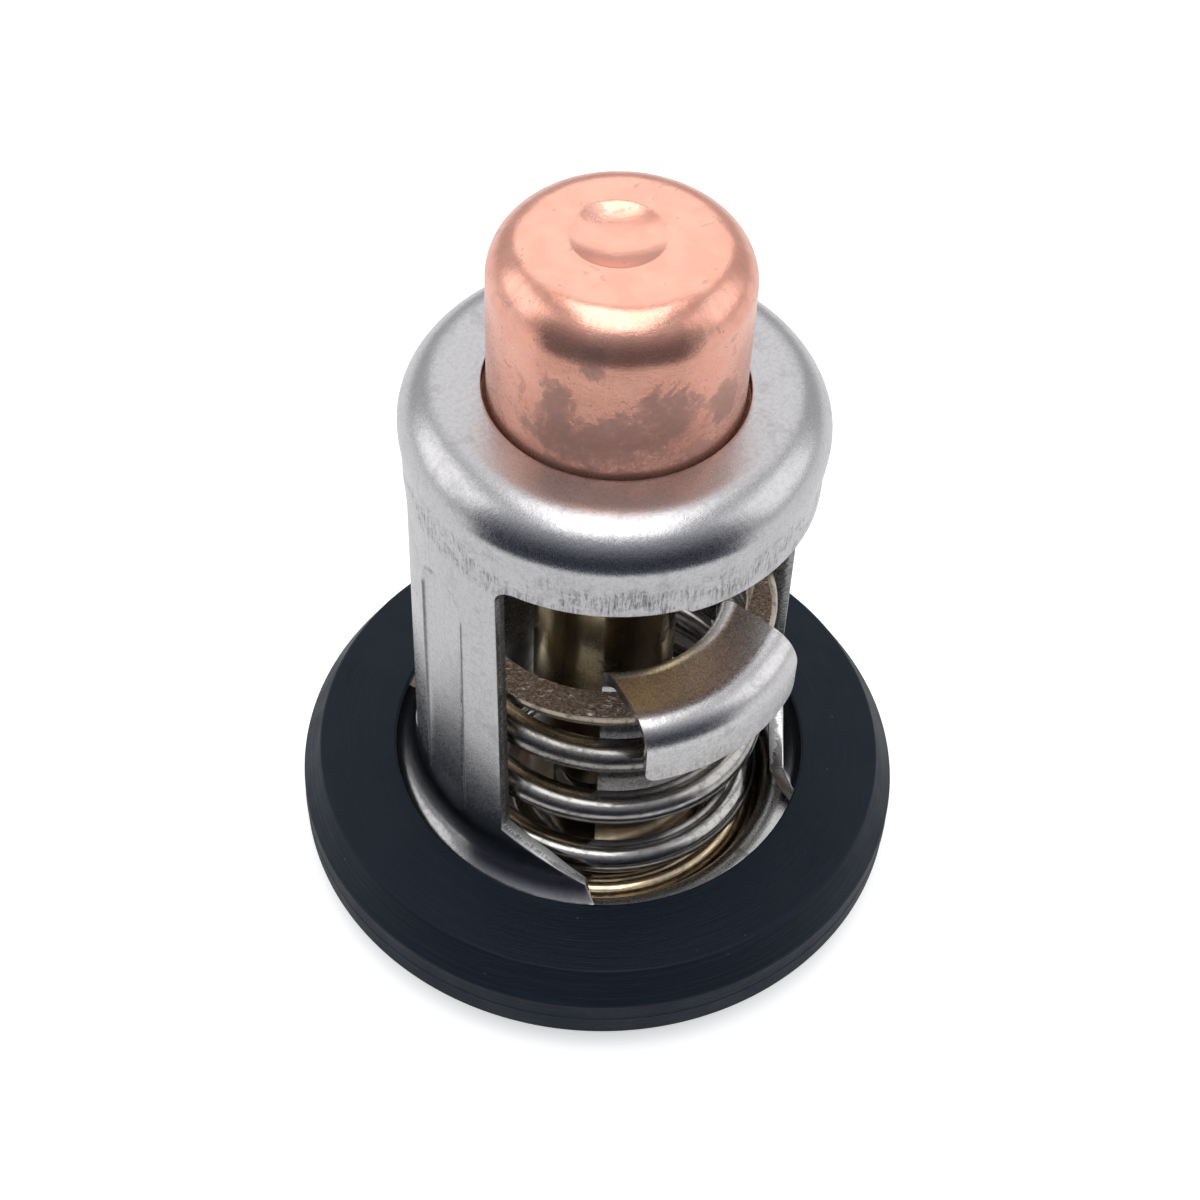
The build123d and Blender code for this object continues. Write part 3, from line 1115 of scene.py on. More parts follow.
@dataclass
class SealRing(Piece):
    """The rubber ring that seals the thermostat in its seat, grooved round both flanges.

    Args:
        radius: outer radius.
        height: underside to top face.
        band: height of the upright band.
        slope: radial width of the slopes above and below the band.
        lip: inner edge of the upper lip.
        bore: inner radius under the flanges.
        groove: radius of the groove's floor.
        groove_low: lower side of the groove.
        groove_high: upper side of the groove.
        flare_r: inner end of the flat part of the groove's upper side.
        flare_z: height of the centre of the cage's flare.
        parting: height of the mould's parting line above the band.
    """

    name: str = "ring_moulding"
    node: str = "seal_ring"
    slot: str = "seal_rubber"
    body: Body = Body.HOUSING
    radius: float = 20.0
    height: float = 7.3
    band: float = 2.9
    slope: float = 1.3
    lip: float = 13.7
    bore: float = 13.35
    groove: float = 16.6
    groove_low: float = 4.6
    groove_high: float = 6.4
    flare_r: float = 15.1
    flare_z: float = 9.2
    parting: float = 0.035

    def form(self) -> Shape:
        """Write the ring's mesh.

        Returns:
            A mesh in millimetres.
        """
        low = (self.height - self.band) / 2
        high = self.height - low
        middle = self.height / 2
        flare = self.flare_z - self.groove_high
        contact = self.flare_z - math.sqrt(flare**2 - (self.flare_r - self.lip) ** 2)
        wall = self.radius - self.parting
        corners = [
            Corner(self.lip, contact),
            Corner(self.lip, self.height, 0.16),
            Corner(self.radius - self.slope, self.height, 0.3),
            Corner(wall, high, 0.35),
            Corner(wall, middle + 0.09),
            Corner(self.radius, middle, 0.03),
            Corner(wall, middle - 0.09),
            Corner(wall, low, 0.35),
            Corner(self.radius - self.slope, 0.0, 0.3),
            Corner(self.bore, 0.0, 0.25),
            Corner(self.bore, self.groove_low),
            Corner(self.groove, self.groove_low),
            Corner(self.groove, self.groove_high),
            Corner(self.flare_r, self.groove_high),
            Corner((self.flare_r + self.lip) / 2, (self.groove_high + contact) / 2 - 0.06),
        ]
        return turned(rounded(corners, closed=True, run=0.9), closed=True, steps=320)

    def finishes(self) -> list[Material]:
        """Write the ring's material.

        Returns:
            The rubber.
        """
        return [MouldedRubber("ring_rubber").material()]


@dataclass
class Sheet:
    """The section of the drawn cage, followed from the hole in the cap to the flange's edge.

    Args:
        radius: outer radius of the wall.
        thick: the sheet.
        top: top face of the cap.
        cap_round: outer rounding of the cap.
        hole: radius of the hole in the cap.
        flare: upper radius between wall and flange.
        flange_top: height of the flange's top face.
        flange: radius of the flange.
    """

    radius: float = 12.3
    thick: float = 1.0
    top: float = 40.0
    cap_round: float = 2.6
    hole: float = 7.65
    flare: float = 2.8
    flange_top: float = 6.4
    flange: float = 16.6

    def marks(self) -> list[float]:
        """Where the section changes from one line to the next.

        Returns:
            Distances along the section, from the hole.
        """
        flat = self.radius - self.cap_round - self.hole
        runs = [
            flat,
            self.cap_round * math.pi / 2,
            self.top - self.cap_round - self.flange_top - self.flare,
            self.flare * math.pi / 2,
            self.flange - self.radius - self.flare,
        ]
        places = [0.0]
        for run in runs:
            places.append(places[-1] + run)
        return places

    def at_height(self, z: float) -> float:
        """Distance along the section of a height on the wall or the flare.

        Args:
            z: the height.

        Returns:
            Distance from the hole.
        """
        marks = self.marks()
        centre = self.flange_top + self.flare
        if z >= centre:
            return marks[2] + (self.top - self.cap_round - z)
        return marks[3] + self.flare * math.asin(min(1.0, (centre - z) / self.flare))

    def at_radius(self, r: float) -> float:
        """Distance along the section of a radius on the flare.

        Args:
            r: the radius.

        Returns:
            Distance from the hole.
        """
        share = (self.radius + self.flare - r) / self.flare
        return self.marks()[3] + self.flare * math.acos(share)

    def point(self, s: float, depth: float) -> Pair:
        """A point of the section.

        Args:
            s: distance along the outer skin, from the hole.
            depth: distance into the sheet.

        Returns:
            (r, z) of the point.
        """
        marks = self.marks()
        knee = self.radius - self.cap_round
        if s <= marks[1]:
            return self.hole + s, self.top - depth
        if s <= marks[2]:
            angle = math.pi / 2 - (s - marks[1]) / self.cap_round
            reach = self.cap_round - depth
            return knee + reach * math.cos(angle), self.top - self.cap_round + reach * math.sin(angle)
        if s <= marks[3]:
            return self.radius - depth, self.top - self.cap_round - (s - marks[2])
        centre_r = self.radius + self.flare
        centre_z = self.flange_top + self.flare
        if s <= marks[4]:
            angle = math.pi + (s - marks[3]) / self.flare
            reach = self.flare + depth
            return centre_r + reach * math.cos(angle), centre_z + reach * math.sin(angle)
        return centre_r + (s - marks[4]), self.flange_top - depth


@dataclass
class Cage(Piece):
    """The drawn cage: holed cap, two windows with sloping feet, two beaded legs, flare and flange.

    Args:
        sheet: the cage's section.
        half_angle: half of a window, in degrees.
        window_top: top edge of the windows.
        window_foot: lower corners beside the legs.
        corner: rounding of the upper window corners.
        step: step where the two punch strokes meet.
        step_angle: where they meet, in degrees from the window's middle.
        notch: half width of the notch that runs down through the flare.
        shoulder: height where the sloping feet reach the notch.
        taper: how much nearer the window's middle its sides are at their foot, in degrees.
        bulge: how far the drawn cap swells beyond the wall.
        notch_end: radius where the notch ends.
        bead_half: half width of the pressed bead on each leg.
        bead_depth: how deep it is pressed.
        bead_top: its upper end.
        bead_foot: its lower end.
        edge: rounding of the cut edges.
    """

    name: str = "cage_pressing"
    node: str = "cage"
    slot: str = "cage_steel"
    body: Body = Body.HOUSING
    sheet: Sheet = field(default_factory=Sheet)
    half_angle: float = 68.5
    window_top: float = 33.9
    window_foot: float = 10.9
    corner: float = 1.3
    step: float = 0.35
    step_angle: float = -16.0
    notch: float = 8.1
    shoulder: float = 7.85
    taper: float = 2.0
    bulge: float = 0.2
    notch_end: float = 13.95
    bead_half: float = 1.95
    bead_depth: float = 0.28
    bead_top: float = 31.0
    bead_foot: float = 9.6
    edge: float = 0.08

    def __post_init__(self) -> None:
        """Work out the angle that the notch covers at its shoulder."""
        r = self.sheet.point(self.sheet.at_height(self.shoulder), 0.0)[0]
        self.notch_angle = math.degrees(math.asin(self.notch / r))

    def columns(self) -> list[float]:
        """Angles of the mesh columns over half of the cage.

        Returns:
            Degrees from the window's middle, -90 to 90.
        """
        crease = 90 - math.degrees(self.bead_half / self.sheet.radius)
        right = (
            spread(self.notch_angle, self.half_angle - 6.0, 13)
            + spread(self.half_angle - 6.0, self.half_angle, 8)
            + spread(self.half_angle, crease - 1.2, 9)
            + spread(crease - 1.2, crease + 1.2, 8)
            + spread(crease + 1.2, 90.0, 8)
            + [90.0]
        )
        left = [-a for a in reversed(right)]
        low, high = self.step_angle - 2.0, self.step_angle + 2.0
        middle = spread(left[-1], low, 12) + spread(low, high, 8) + spread(high, right[0], 30)
        return left + middle[1:] + right

    def top_at(self, angle: float) -> float:
        """Height of the window's top edge.

        Args:
            angle: degrees from the window's middle.

        Returns:
            The height.
        """
        if abs(angle) > self.half_angle:
            angle = -self.half_angle
        drop = self.step * smoothstep(self.step_angle - 1.2, self.step_angle + 1.2, angle)
        fade = smoothstep(self.half_angle, self.half_angle - 6.0, angle)
        return self.window_top - drop * fade

    def foot_at(self, angle: float) -> float:
        """Height of the window's foot.

        Args:
            angle: degrees from the window's middle.

        Returns:
            The height.
        """
        share = (abs(angle) - self.notch_angle) / (self.half_angle - self.notch_angle)
        share = min(1.0, max(0.0, share))
        return self.shoulder + (self.window_foot - self.shoulder) * share

    def dent(self, angle: float, r: float, z: float) -> float:
        """Radius of a wall point once the bead is pressed.

        Args:
            angle: degrees from the window's middle.
            r: the plain radius.
            z: the height.

        Returns:
            The radius.
        """
        off = math.radians(90 - abs(angle))
        across = abs(off) * self.sheet.radius - self.bead_half
        rise = z - (self.bead_top - self.bead_half)
        if rise > 0:
            across = math.hypot(off * self.sheet.radius, rise) - self.bead_half
        pressed = smoothstep(0.07, -0.13, across) * smoothstep(self.bead_foot, self.bead_foot + 2.4, z)
        flat = (r - self.bead_depth) / math.cos(min(off, 0.4))
        return r + (flat - r) * pressed

    def rows(self) -> tuple[list[tuple[int, float]], int, int, int]:
        """Rows of the mesh, each a band of the section and a share of it.

        Returns:
            The rows, then the row of the window's top, of its foot and of the notch's end.
        """
        bands = [8, 16, 9, 74, 14, 5, 5]
        rows = [(band, share) for band, count in enumerate(bands) for share in spread(0.0, 1.0, count)]
        rows.append((len(bands) - 1, 1.0))
        top = sum(bands[:3])
        foot = top + bands[3]
        return rows, top, foot, foot + bands[4]

    def place(self, band: int, share: float, angle: float, depth: float) -> Vector:
        """A vertex of the cage.

        Args:
            band: the band of the section.
            share: how far along the band.
            angle: degrees from the window's middle.
            depth: distance into the sheet.

        Returns:
            The vertex.
        """
        sheet = self.sheet
        marks = sheet.marks()
        own = abs(angle)
        top = sheet.at_height(self.top_at(angle))
        foot = sheet.at_height(self.foot_at(angle))
        notch = sheet.at_radius(self.notch_end)
        stops = [0.0, marks[1], marks[2], top, foot, notch, marks[4], marks[5]]
        s = stops[band] + (stops[band + 1] - stops[band]) * share
        lean = 0.0
        reach = self.corner
        side = math.copysign(self.half_angle, angle)
        beside = abs(abs(angle) - self.half_angle) < 1e-6
        if band == 3 and beside and s - top < reach:
            arc = math.radians(45) * (1 - (s - top) / reach)
            lean = reach * (1 - math.cos(arc))
            s = top + reach * (1 - math.sin(arc))
        elif band == 3 and share == 0.0 and abs(angle) < self.half_angle:
            off = math.radians(self.half_angle - abs(angle)) * sheet.radius
            if off < reach:
                arc = math.radians(45) * (1 + off / reach)
                lean = reach * (1 - math.cos(arc)) - off
                s = top + reach * (1 - math.sin(arc))
        r, z = sheet.point(s, depth)
        r += self.bulge * math.exp(-(((z - sheet.top + sheet.cap_round) / 1.5) ** 2))
        if lean:
            angle -= math.copysign(math.degrees(lean / sheet.radius), side)
        if band >= 4 and self.notch_angle - 1e-6 <= abs(angle) < self.half_angle:
            outer = sheet.point(s, 0.0)[0]
            inner = math.degrees(math.asin(min(1.0, self.notch / outer)))
            across = (abs(angle) - self.notch_angle) / (self.half_angle - self.notch_angle)
            angle = math.copysign(inner + (self.half_angle - inner) * across, angle)
        near = smoothstep(self.half_angle - 25.0, self.half_angle, own)
        near *= smoothstep(90.0, self.half_angle + 8.0, own)
        fade = {3: share, 4: 1.0 - share}.get(band, 0.0)
        angle -= math.copysign(self.taper * near * fade, angle)
        if marks[2] <= s <= marks[3] + 0.6:
            r = self.dent(angle, r, z)
        turn = math.radians(angle)
        return Vector((r * math.sin(turn), -r * math.cos(turn), z))

    def form(self) -> Shape:
        """Write the cage's mesh.

        Returns:
            A mesh in millimetres.
        """
        rows, top, foot, notch = self.rows()
        columns = self.columns()
        bm = bmesh.new()
        skins = [
            [[bm.verts.new(self.place(b, t, a, depth)) for a in columns] for b, t in rows]
            for depth in (0.0, self.sheet.thick)
        ]

        def solid(i: int, j: int) -> bool:
            """Whether the sheet covers a cell.

            Args:
                i: the cell's row.
                j: the cell's column.

            Returns:
                True where there is sheet.
            """
            if not 0 <= i < len(rows) - 1:
                return False
            if not 0 <= j < len(columns) - 1:
                return True
            middle = abs(columns[j] + columns[j + 1]) / 2
            if top <= i < foot and middle < self.half_angle:
                return False
            return not (foot <= i < notch and middle < self.notch_angle)

        outer, inner = skins
        for i in range(len(rows) - 1):
            for j in range(len(columns) - 1):
                if not solid(i, j):
                    continue
                bm.faces.new((outer[i][j], outer[i][j + 1], outer[i + 1][j + 1], outer[i + 1][j]))
                bm.faces.new((inner[i][j], inner[i + 1][j], inner[i + 1][j + 1], inner[i][j + 1]))
                sides = (
                    (i - 1, j, (i, j), (i, j + 1)),
                    (i + 1, j, (i + 1, j), (i + 1, j + 1)),
                    (i, j - 1, (i, j), (i + 1, j)),
                    (i, j + 1, (i, j + 1), (i + 1, j + 1)),
                )
                for ni, nj, (ai, aj), (bi, bj) in sides:
                    if solid(ni, nj):
                        continue
                    wall = bm.faces.new((outer[ai][aj], outer[bi][bj], inner[bi][bj], inner[ai][aj]))
                    wall.material_index = Side.CUT.value
        loose = [v for v in bm.verts if not v.link_faces]
        bmesh.ops.delete(bm, geom=loose, context="VERTS")
        second_half(bm, 0.001)
        ease_rims(bm, self.edge)
        return bm

    def finishes(self) -> list[Material]:
        """Write the cage's materials.

        Returns:
            The satin skin and the punched edge.
        """
        inside = self.sheet.radius - self.sheet.thick
        edge = ShearedEdge("cage_edge", inside, self.sheet.radius, (0.36, 0.35, 0.345))
        return [SatinSteel("cage_satin").material(), edge.material()]


@dataclass
class SeatPan(Piece):
    """The pan under the cage, whose floor carries the spring and is the valve's seat.

    Args:
        sheet: the pan's sheet.
        flange: radius of the flange.
        flange_top: height of the flange's top face.
        wall: outer radius of the wall.
        floor_top: height of the floor.
        hole: radius of the valve opening.
        bend: outer rounding between wall and flange or floor.
    """

    name: str = "pan_pressing"
    node: str = "seat_pan"
    slot: str = "pan_steel"
    body: Body = Body.HOUSING
    sheet: float = 0.8
    flange: float = 16.6
    flange_top: float = 5.4
    wall: float = 12.05
    floor_top: float = 1.7
    hole: float = 8.4
    bend: float = 1.6

    def form(self) -> Shape:
        """Write the pan's mesh.

        Returns:
            A mesh in millimetres.
        """
        inner_bend = self.bend - self.sheet
        corners = [
            Corner(self.flange, self.flange_top, 0.08),
            Corner(self.wall - self.sheet, self.flange_top, self.bend),
            Corner(self.wall - self.sheet, self.floor_top, inner_bend),
            Corner(self.hole, self.floor_top, 0.1),
            Corner(self.hole, self.floor_top - self.sheet, 0.06),
            Corner(self.wall, self.floor_top - self.sheet, self.bend),
            Corner(self.wall, self.flange_top - self.sheet, inner_bend),
            Corner(self.flange, self.flange_top - self.sheet, 0.08),
        ]
        return turned(rounded(corners, closed=True), closed=True)

    def finishes(self) -> list[Material]:
        """Write the pan's material.

        Returns:
            The steel.
        """
        steel = Metal(
            "pan_bright",
            colour=(0.58, 0.575, 0.57),
            stain=(0.26, 0.24, 0.22),
            rough=0.27,
            grain=0.003,
            stained=0.35,
        )
        return [steel.material()]


@dataclass
class ValveDisc(Piece):
    """The valve disc: flat rim under the seat and a raised boss in the middle.

    Args:
        sheet: the disc's sheet.
        rim: outer radius.
        foot: height of its underside.
        boss: radius of the boss.
        boss_top: height of the boss.
        bore: radius of the hole for the rivet.
    """

    name: str = "disc_pressing"
    node: str = "valve_disc"
    slot: str = "disc_steel"
    body: Body = Body.VALVE
    sheet: float = 0.8
    rim: float = 9.9
    foot: float = 0.1
    boss: float = 5.0
    boss_top: float = 1.7
    bore: float = 1.5

    def form(self) -> Shape:
        """Write the disc's mesh.

        Returns:
            A mesh in millimetres.
        """
        top = self.foot + self.sheet
        corners = [
            Corner(self.bore, self.boss_top),
            Corner(self.boss, self.boss_top, 0.5),
            Corner(self.boss + self.sheet, top, 0.35),
            Corner(self.rim, top, 0.2),
            Corner(self.rim, self.foot, 0.2),
            Corner(self.boss, self.foot, 0.5),
            Corner(self.boss - self.sheet, self.boss_top - self.sheet, 0.35),
            Corner(self.bore, self.boss_top - self.sheet),
        ]
        return turned(rounded(corners, closed=True), closed=True)

    def finishes(self) -> list[Material]:
        """Write the disc's material.

        Returns:
            The steel.
        """
        steel = Metal(
            "disc_bright",
            colour=(0.56, 0.55, 0.54),
            stain=(0.24, 0.22, 0.20),
            rough=0.3,
            grain=0.004,
            stained=0.45,
        )
        return [steel.material()]


@dataclass
class Yoke(Piece):
    """The bent strap whose arms stand inside the spring and hook over its top.

    Args:
        sheet: the strap's sheet.
        bore: radius of the hole for the rivet.
        base: height of the base's underside.
        arm: outer radius of the arms.
        top: height of the saddles.
        hook: outer radius of the hooks.
        foot: lower end of the hooks.
        bend: middle radius of the bends at both ends of the arms.
        hook_bend: middle radius of the bend into the hooks.
        arm_half: half width of the arms.
        hook_half: half width of the hooks.
        turn: degrees that the strap sits turned in the windows.
        corner: rounding of the hooks' lower corners.
        edge: rounding of the cut edges.
    """

    name: str = "yoke_strap"
    node: str = "yoke"
    slot: str = "yoke_steel"
    body: Body = Body.VALVE
    sheet: float = 0.8
    bore: float = 1.5
    base: float = 1.7
    arm: float = 8.0
    top: float = 23.6
    hook: float = 12.85
    foot: float = 19.05
    bend: float = 0.9
    hook_bend: float = 1.6
    arm_half: float = 4.9
    hook_half: float = 6.3
    turn: float = 2.5
    corner: float = 0.7
    edge: float = 0.07

    def section(self) -> list[tuple[Vector, Vector]]:
        """The strap's middle line.

        Returns:
            Points (r, z) and the unit normals that point up or outwards from the spring.
        """
        half = self.sheet / 2
        corners = [
            Corner(self.bore, self.base + half),
            Corner(self.arm - half, self.base + half, self.bend),
            Corner(self.arm - half, self.top - half, self.bend),
            Corner(self.hook - half, self.top - half, self.hook_bend),
            Corner(self.hook - half, self.foot),
        ]
        line = [Vector(p) for p in rounded(corners, closed=False, step=7.0, run=0.55)]
        drops = [1 - math.sin(math.pi / 2 * k / 8) for k in range(9)]
        tail = [Vector((self.hook - half, self.foot + self.corner * drop)) for drop in drops]
        start = self.foot + self.corner + 0.12
        line = [p for p in line if p.x < self.hook - half - 1e-4 or p.y > start] + tail
        result = []
        for k, here in enumerate(line):
            along = (line[min(k + 1, len(line) - 1)] - line[max(k - 1, 0)]).normalized()
            result.append((here, Vector((-along.y, along.x))))
        return result

    def half_width(self, y: float) -> float:
        """Half width of the strap.

        Args:
            y: distance from the middle, along the strap.

        Returns:
            The half width.
        """
        start = self.arm - self.bend
        end = self.hook + self.sheet
        share = min(1.0, max(0.0, (y - start) / (end - start)))
        return self.arm_half + (self.hook_half - self.arm_half) * share

    def reach(self, r: float, trim: float) -> float:
        """Half of the arc that the strap covers at a radius.

        Args:
            r: the radius.
            trim: how much narrower the strap is there, each side.

        Returns:
            The angle, in radians.
        """
        angle = math.pi / 2
        for _ in range(12):
            wide = self.half_width(r * math.cos(angle)) - trim
            angle = math.asin(min(1.0, wide / r))
        return angle

    def form(self) -> Shape:
        """Write the strap's mesh.

        Returns:
            A mesh in millimetres.
        """
        bm = bmesh.new()
        section = self.section()
        shares = [math.sin(math.pi / 2 * (k / 20 - 1)) for k in range(41)]
        skins = []
        for side in (1, -1):
            rows = []
            for here, normal in section:
                drop = max(0.0, self.foot + self.corner - here.y) if here.x > self.hook - self.sheet else 0.0
                trim = self.corner - math.sqrt(max(0.0, self.corner**2 - drop**2))
                limit = self.reach(here.x, trim)
                r = here.x + side * normal.x * self.sheet / 2
                z = here.y + side * normal.y * self.sheet / 2
                rows.append([
                    bm.verts.new((r * math.sin(limit * t), -r * math.cos(limit * t), z)) for t in shares
                ])
            skins.append(rows)
        upper, lower = skins
        for i in range(len(section) - 1):
            for j in range(len(shares) - 1):
                bm.faces.new((upper[i][j], upper[i][j + 1], upper[i + 1][j + 1], upper[i + 1][j]))
                bm.faces.new((lower[i][j], lower[i + 1][j], lower[i + 1][j + 1], lower[i][j + 1]))
            full = section[i][0].x < self.arm_half and section[i + 1][0].x < self.arm_half
            if not full:
                for j in (0, len(shares) - 1):
                    wall = bm.faces.new((upper[i][j], upper[i + 1][j], lower[i + 1][j], lower[i][j]))
                    wall.material_index = Side.CUT.value
        for i in (0, len(section) - 1):
            for j in range(len(shares) - 1):
                wall = bm.faces.new((upper[i][j], upper[i][j + 1], lower[i][j + 1], lower[i][j]))
                wall.material_index = Side.CUT.value
        second_half(bm, 0.002)
        turn = Matrix.Rotation(math.radians(self.turn), 3, "Z")
        bmesh.ops.rotate(bm, cent=(0, 0, 0), matrix=turn, verts=bm.verts)
        ease_rims(bm, self.edge)
        return bm

    def finishes(self) -> list[Material]:
        """Write the strap's materials.

        Returns:
            The satin skin and the punched edge.
        """
        skin = SatinSteel(
            "yoke_satin",
            colour=(0.70, 0.68, 0.68),
            mark_low=18.6,
            mark_high=21.4,
            marks=0.3,
            crease=0.0,
            grain=0.0055,
            rough=(0.2, 0.32),
            flare=0.0,
        )
        edge = ShearedEdge("yoke_edge", self.arm, self.hook, (0.62, 0.61, 0.6))
        return [skin.material(), edge.material()]


@dataclass
class Spring(Piece):
    """The left-handed coil between the pan's floor and the yoke's saddles, ground flat at both ends.

    Args:
        coil: radius of the coil's middle line.
        wire: radius of the wire.
        foot: height of the lower ground face.
        top: height of the upper ground face.
        grinds: depths ground off the lower and the upper end.
        end_turns: closed turns at each end.
        pitches: rise per closed turn at the lower and the upper end.
        active_turns: open turns.
        tip: where the lower tip lies, in degrees from +X.
        travel: how far the joint shortens the spring; not used.
        sections: wire sections per turn.
    """

    name: str = "coil_wire"
    node: str = "spring"
    slot: str = "spring_steel"
    body: Body = Body.HOUSING
    coil: float = 9.7
    wire: float = 1.05
    foot: float = 1.7
    top: float = 22.8
    grinds: Pair = (0.35, 1.55)
    end_turns: float = 0.75
    pitches: Pair = (1.1, 1.6)
    active_turns: float = 3.45
    tip: float = 20.0
    travel: float = 4.5
    sections: int = 120

    def centre(self, turns: float) -> Vector:
        """A point of the coil's middle line.

        Args:
            turns: turns from the lower tip.

        Returns:
            The point.
        """
        start = self.foot + self.wire - self.grinds[0]
        end = self.top - self.wire + self.grinds[1]
        low, high = self.pitches
        active = (end - start - (low + high) * self.end_turns) / self.active_turns
        z = start + low * min(turns, self.end_turns)
        z += active * min(max(turns - self.end_turns, 0.0), self.active_turns)
        z += high * max(turns - self.end_turns - self.active_turns, 0.0)
        angle = math.radians(self.tip) - math.tau * turns
        return Vector((self.coil * math.cos(angle), self.coil * math.sin(angle), z))

    def form(self) -> Shape:
        """Write the coil's mesh.

        Returns:
            A mesh in millimetres.
        """
        bm = bmesh.new()
        total = 2 * self.end_turns + self.active_turns
        count = round(total * self.sections)
        rings = []
        for k in range(count + 1):
            turns = total * k / count
            centre = self.centre(turns)
            along = (self.centre(turns + 0.01) - self.centre(turns - 0.01)).normalized()
            out = Vector((centre.x, centre.y, 0.0)).normalized()
            up = along.cross(out).normalized()
            out = up.cross(along).normalized()
            matrix = Matrix.Translation(centre) @ Matrix((out, up, along)).transposed().to_4x4()
            ring = bmesh.ops.create_circle(
                bm,
                cap_ends=k in (0, count),
                segments=32,
                radius=self.wire,
                matrix=matrix,
            )
            rings.append(ring["verts"])
        for first, second in zip(rings, rings[1:]):
            edges = []
            for ring in (first, second):
                members = set(ring)
                edges += [e for e in {e for v in ring for e in v.link_edges} if set(e.verts) <= members]
            bmesh.ops.bridge_loops(bm, edges=edges)
        bmesh.ops.recalc_face_normals(bm, faces=bm.faces)
        ends = [f for f in bm.faces if len(f.verts) > 8]
        tips = list({e for f in ends for e in f.edges})
        bmesh.ops.bevel(
            bm,
            geom=tips,
            offset=0.12,
            offset_type="OFFSET",
            segments=2,
            profile=0.5,
            affect="EDGES",
            material=-1,
        )
        for height, normal in ((self.foot, (0, 0, -1)), (self.top, (0, 0, 1))):
            cut = bmesh.ops.bisect_plane(
                bm,
                geom=bm.verts[:] + bm.edges[:] + bm.faces[:],
                plane_co=(0, 0, height),
                plane_no=normal,
                clear_outer=True,
            )
            rim = [item for item in cut["geom_cut"] if isinstance(item, bmesh.types.BMEdge)]
            filled = bmesh.ops.triangle_fill(bm, edges=rim, use_beauty=True, use_dissolve=False)
            for face in filled["geom"]:
                if isinstance(face, bmesh.types.BMFace):
                    face.material_index = Side.CUT.value
        bmesh.ops.recalc_face_normals(bm, faces=bm.faces)
        return bm

    def finishes(self) -> list[Material]:
        """Write the coil's materials.

        Returns:
            The wire and its ground faces.
        """
        return [SpringWire("spring_wire").material(), GroundFace("spring_ground").material()]

    def settle(self, piece: bpy.types.Object) -> None:
        """Give the coil a mesh of its own.

        Args:
            piece: the finished object.
        """
        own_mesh(piece)


@dataclass
class CopperCup(Piece):
    """The drawn copper cup of the wax element, with its punch mark and crimped rim.

    Args:
        radius: outer radius.
        top: height of the end's edge.
        crown: rise of the end at its middle.
        corner: outer rounding of the end.
        wall: thickness of the cup.
        rim: radius of the crimped rim.
        rim_top: height of the rim's seat under the cage.
        rim_foot: lower end of the crimp.
        lap: how far the crimp turns in.
        seat: height of the inner step that carries the diaphragm.
        end: height of the inner end, over the wax.
        dimple: radius of the punch mark.
        dimple_depth: its depth.
        dimple_shift: how far it lies off centre, towards +Y.
    """

    name: str = "cup_drawing"
    node: str = "copper_cup"
    slot: str = "cup_copper"
    body: Body = Body.HOUSING
    radius: float = 7.4
    top: float = 50.42
    crown: float = 0.1
    corner: float = 2.6
    wall: float = 0.6
    rim: float = 9.3
    rim_top: float = 39.0
    rim_foot: float = 35.6
    lap: float = 0.9
    seat: float = 38.4
    end: float = 49.1
    dimple: float = 2.8
    dimple_depth: float = 0.66
    dimple_shift: float = 0.5

    def form(self) -> Shape:
        """Write the cup's mesh.

        Returns:
            A mesh in millimetres.
        """
        flat = self.radius - self.corner
        rings = [flat * k / 44 for k in range(44)]
        end = [(r, self.top + self.crown * (1 - (r / flat) ** 2.2)) for r in rings]
        arc = []
        for k in range(19):
            angle = math.radians(86 - 86 * k / 18)
            height = self.top - self.corner + self.corner * math.sin(angle)
            arc.append((flat + self.corner * math.cos(angle), height))
        inner = self.radius - self.wall
        crimp = self.rim - self.wall
        foot = [
            Corner(self.radius, self.top - self.corner - 0.05),
            Corner(self.radius, self.rim_top, 0.25),
            Corner(self.rim, self.rim_top, 0.5),
            Corner(self.rim, self.rim_foot, 0.55),
            Corner(crimp - self.lap, self.rim_foot, 0.15),
            Corner(crimp - self.lap, self.rim_foot + self.wall),
            Corner(crimp, self.rim_foot + self.wall),
            Corner(crimp, self.seat),
            Corner(inner, self.seat),
            Corner(inner, self.end - self.corner + self.wall),
            Corner(flat, self.end),
            Corner(0.0, self.end),
        ]
        outline = end + arc + rounded(foot, closed=False, run=0.8)
        bm = turned(outline, closed=False, steps=288)
        lowest = self.top - 0.3
        for vert in bm.verts:
            if vert.co.z < lowest:
                continue
            off = math.hypot(vert.co.x, vert.co.y - self.dimple_shift)
            bowl = self.dimple_depth * (1 - (off / self.dimple) ** 2)
            vert.co.z -= (bowl + math.hypot(bowl, 0.035)) / 2
        return bm

    def finishes(self) -> list[Material]:
        """Write the cup's material.

        Returns:
            The copper.
        """
        return [WornCopper("worn_copper").material()]


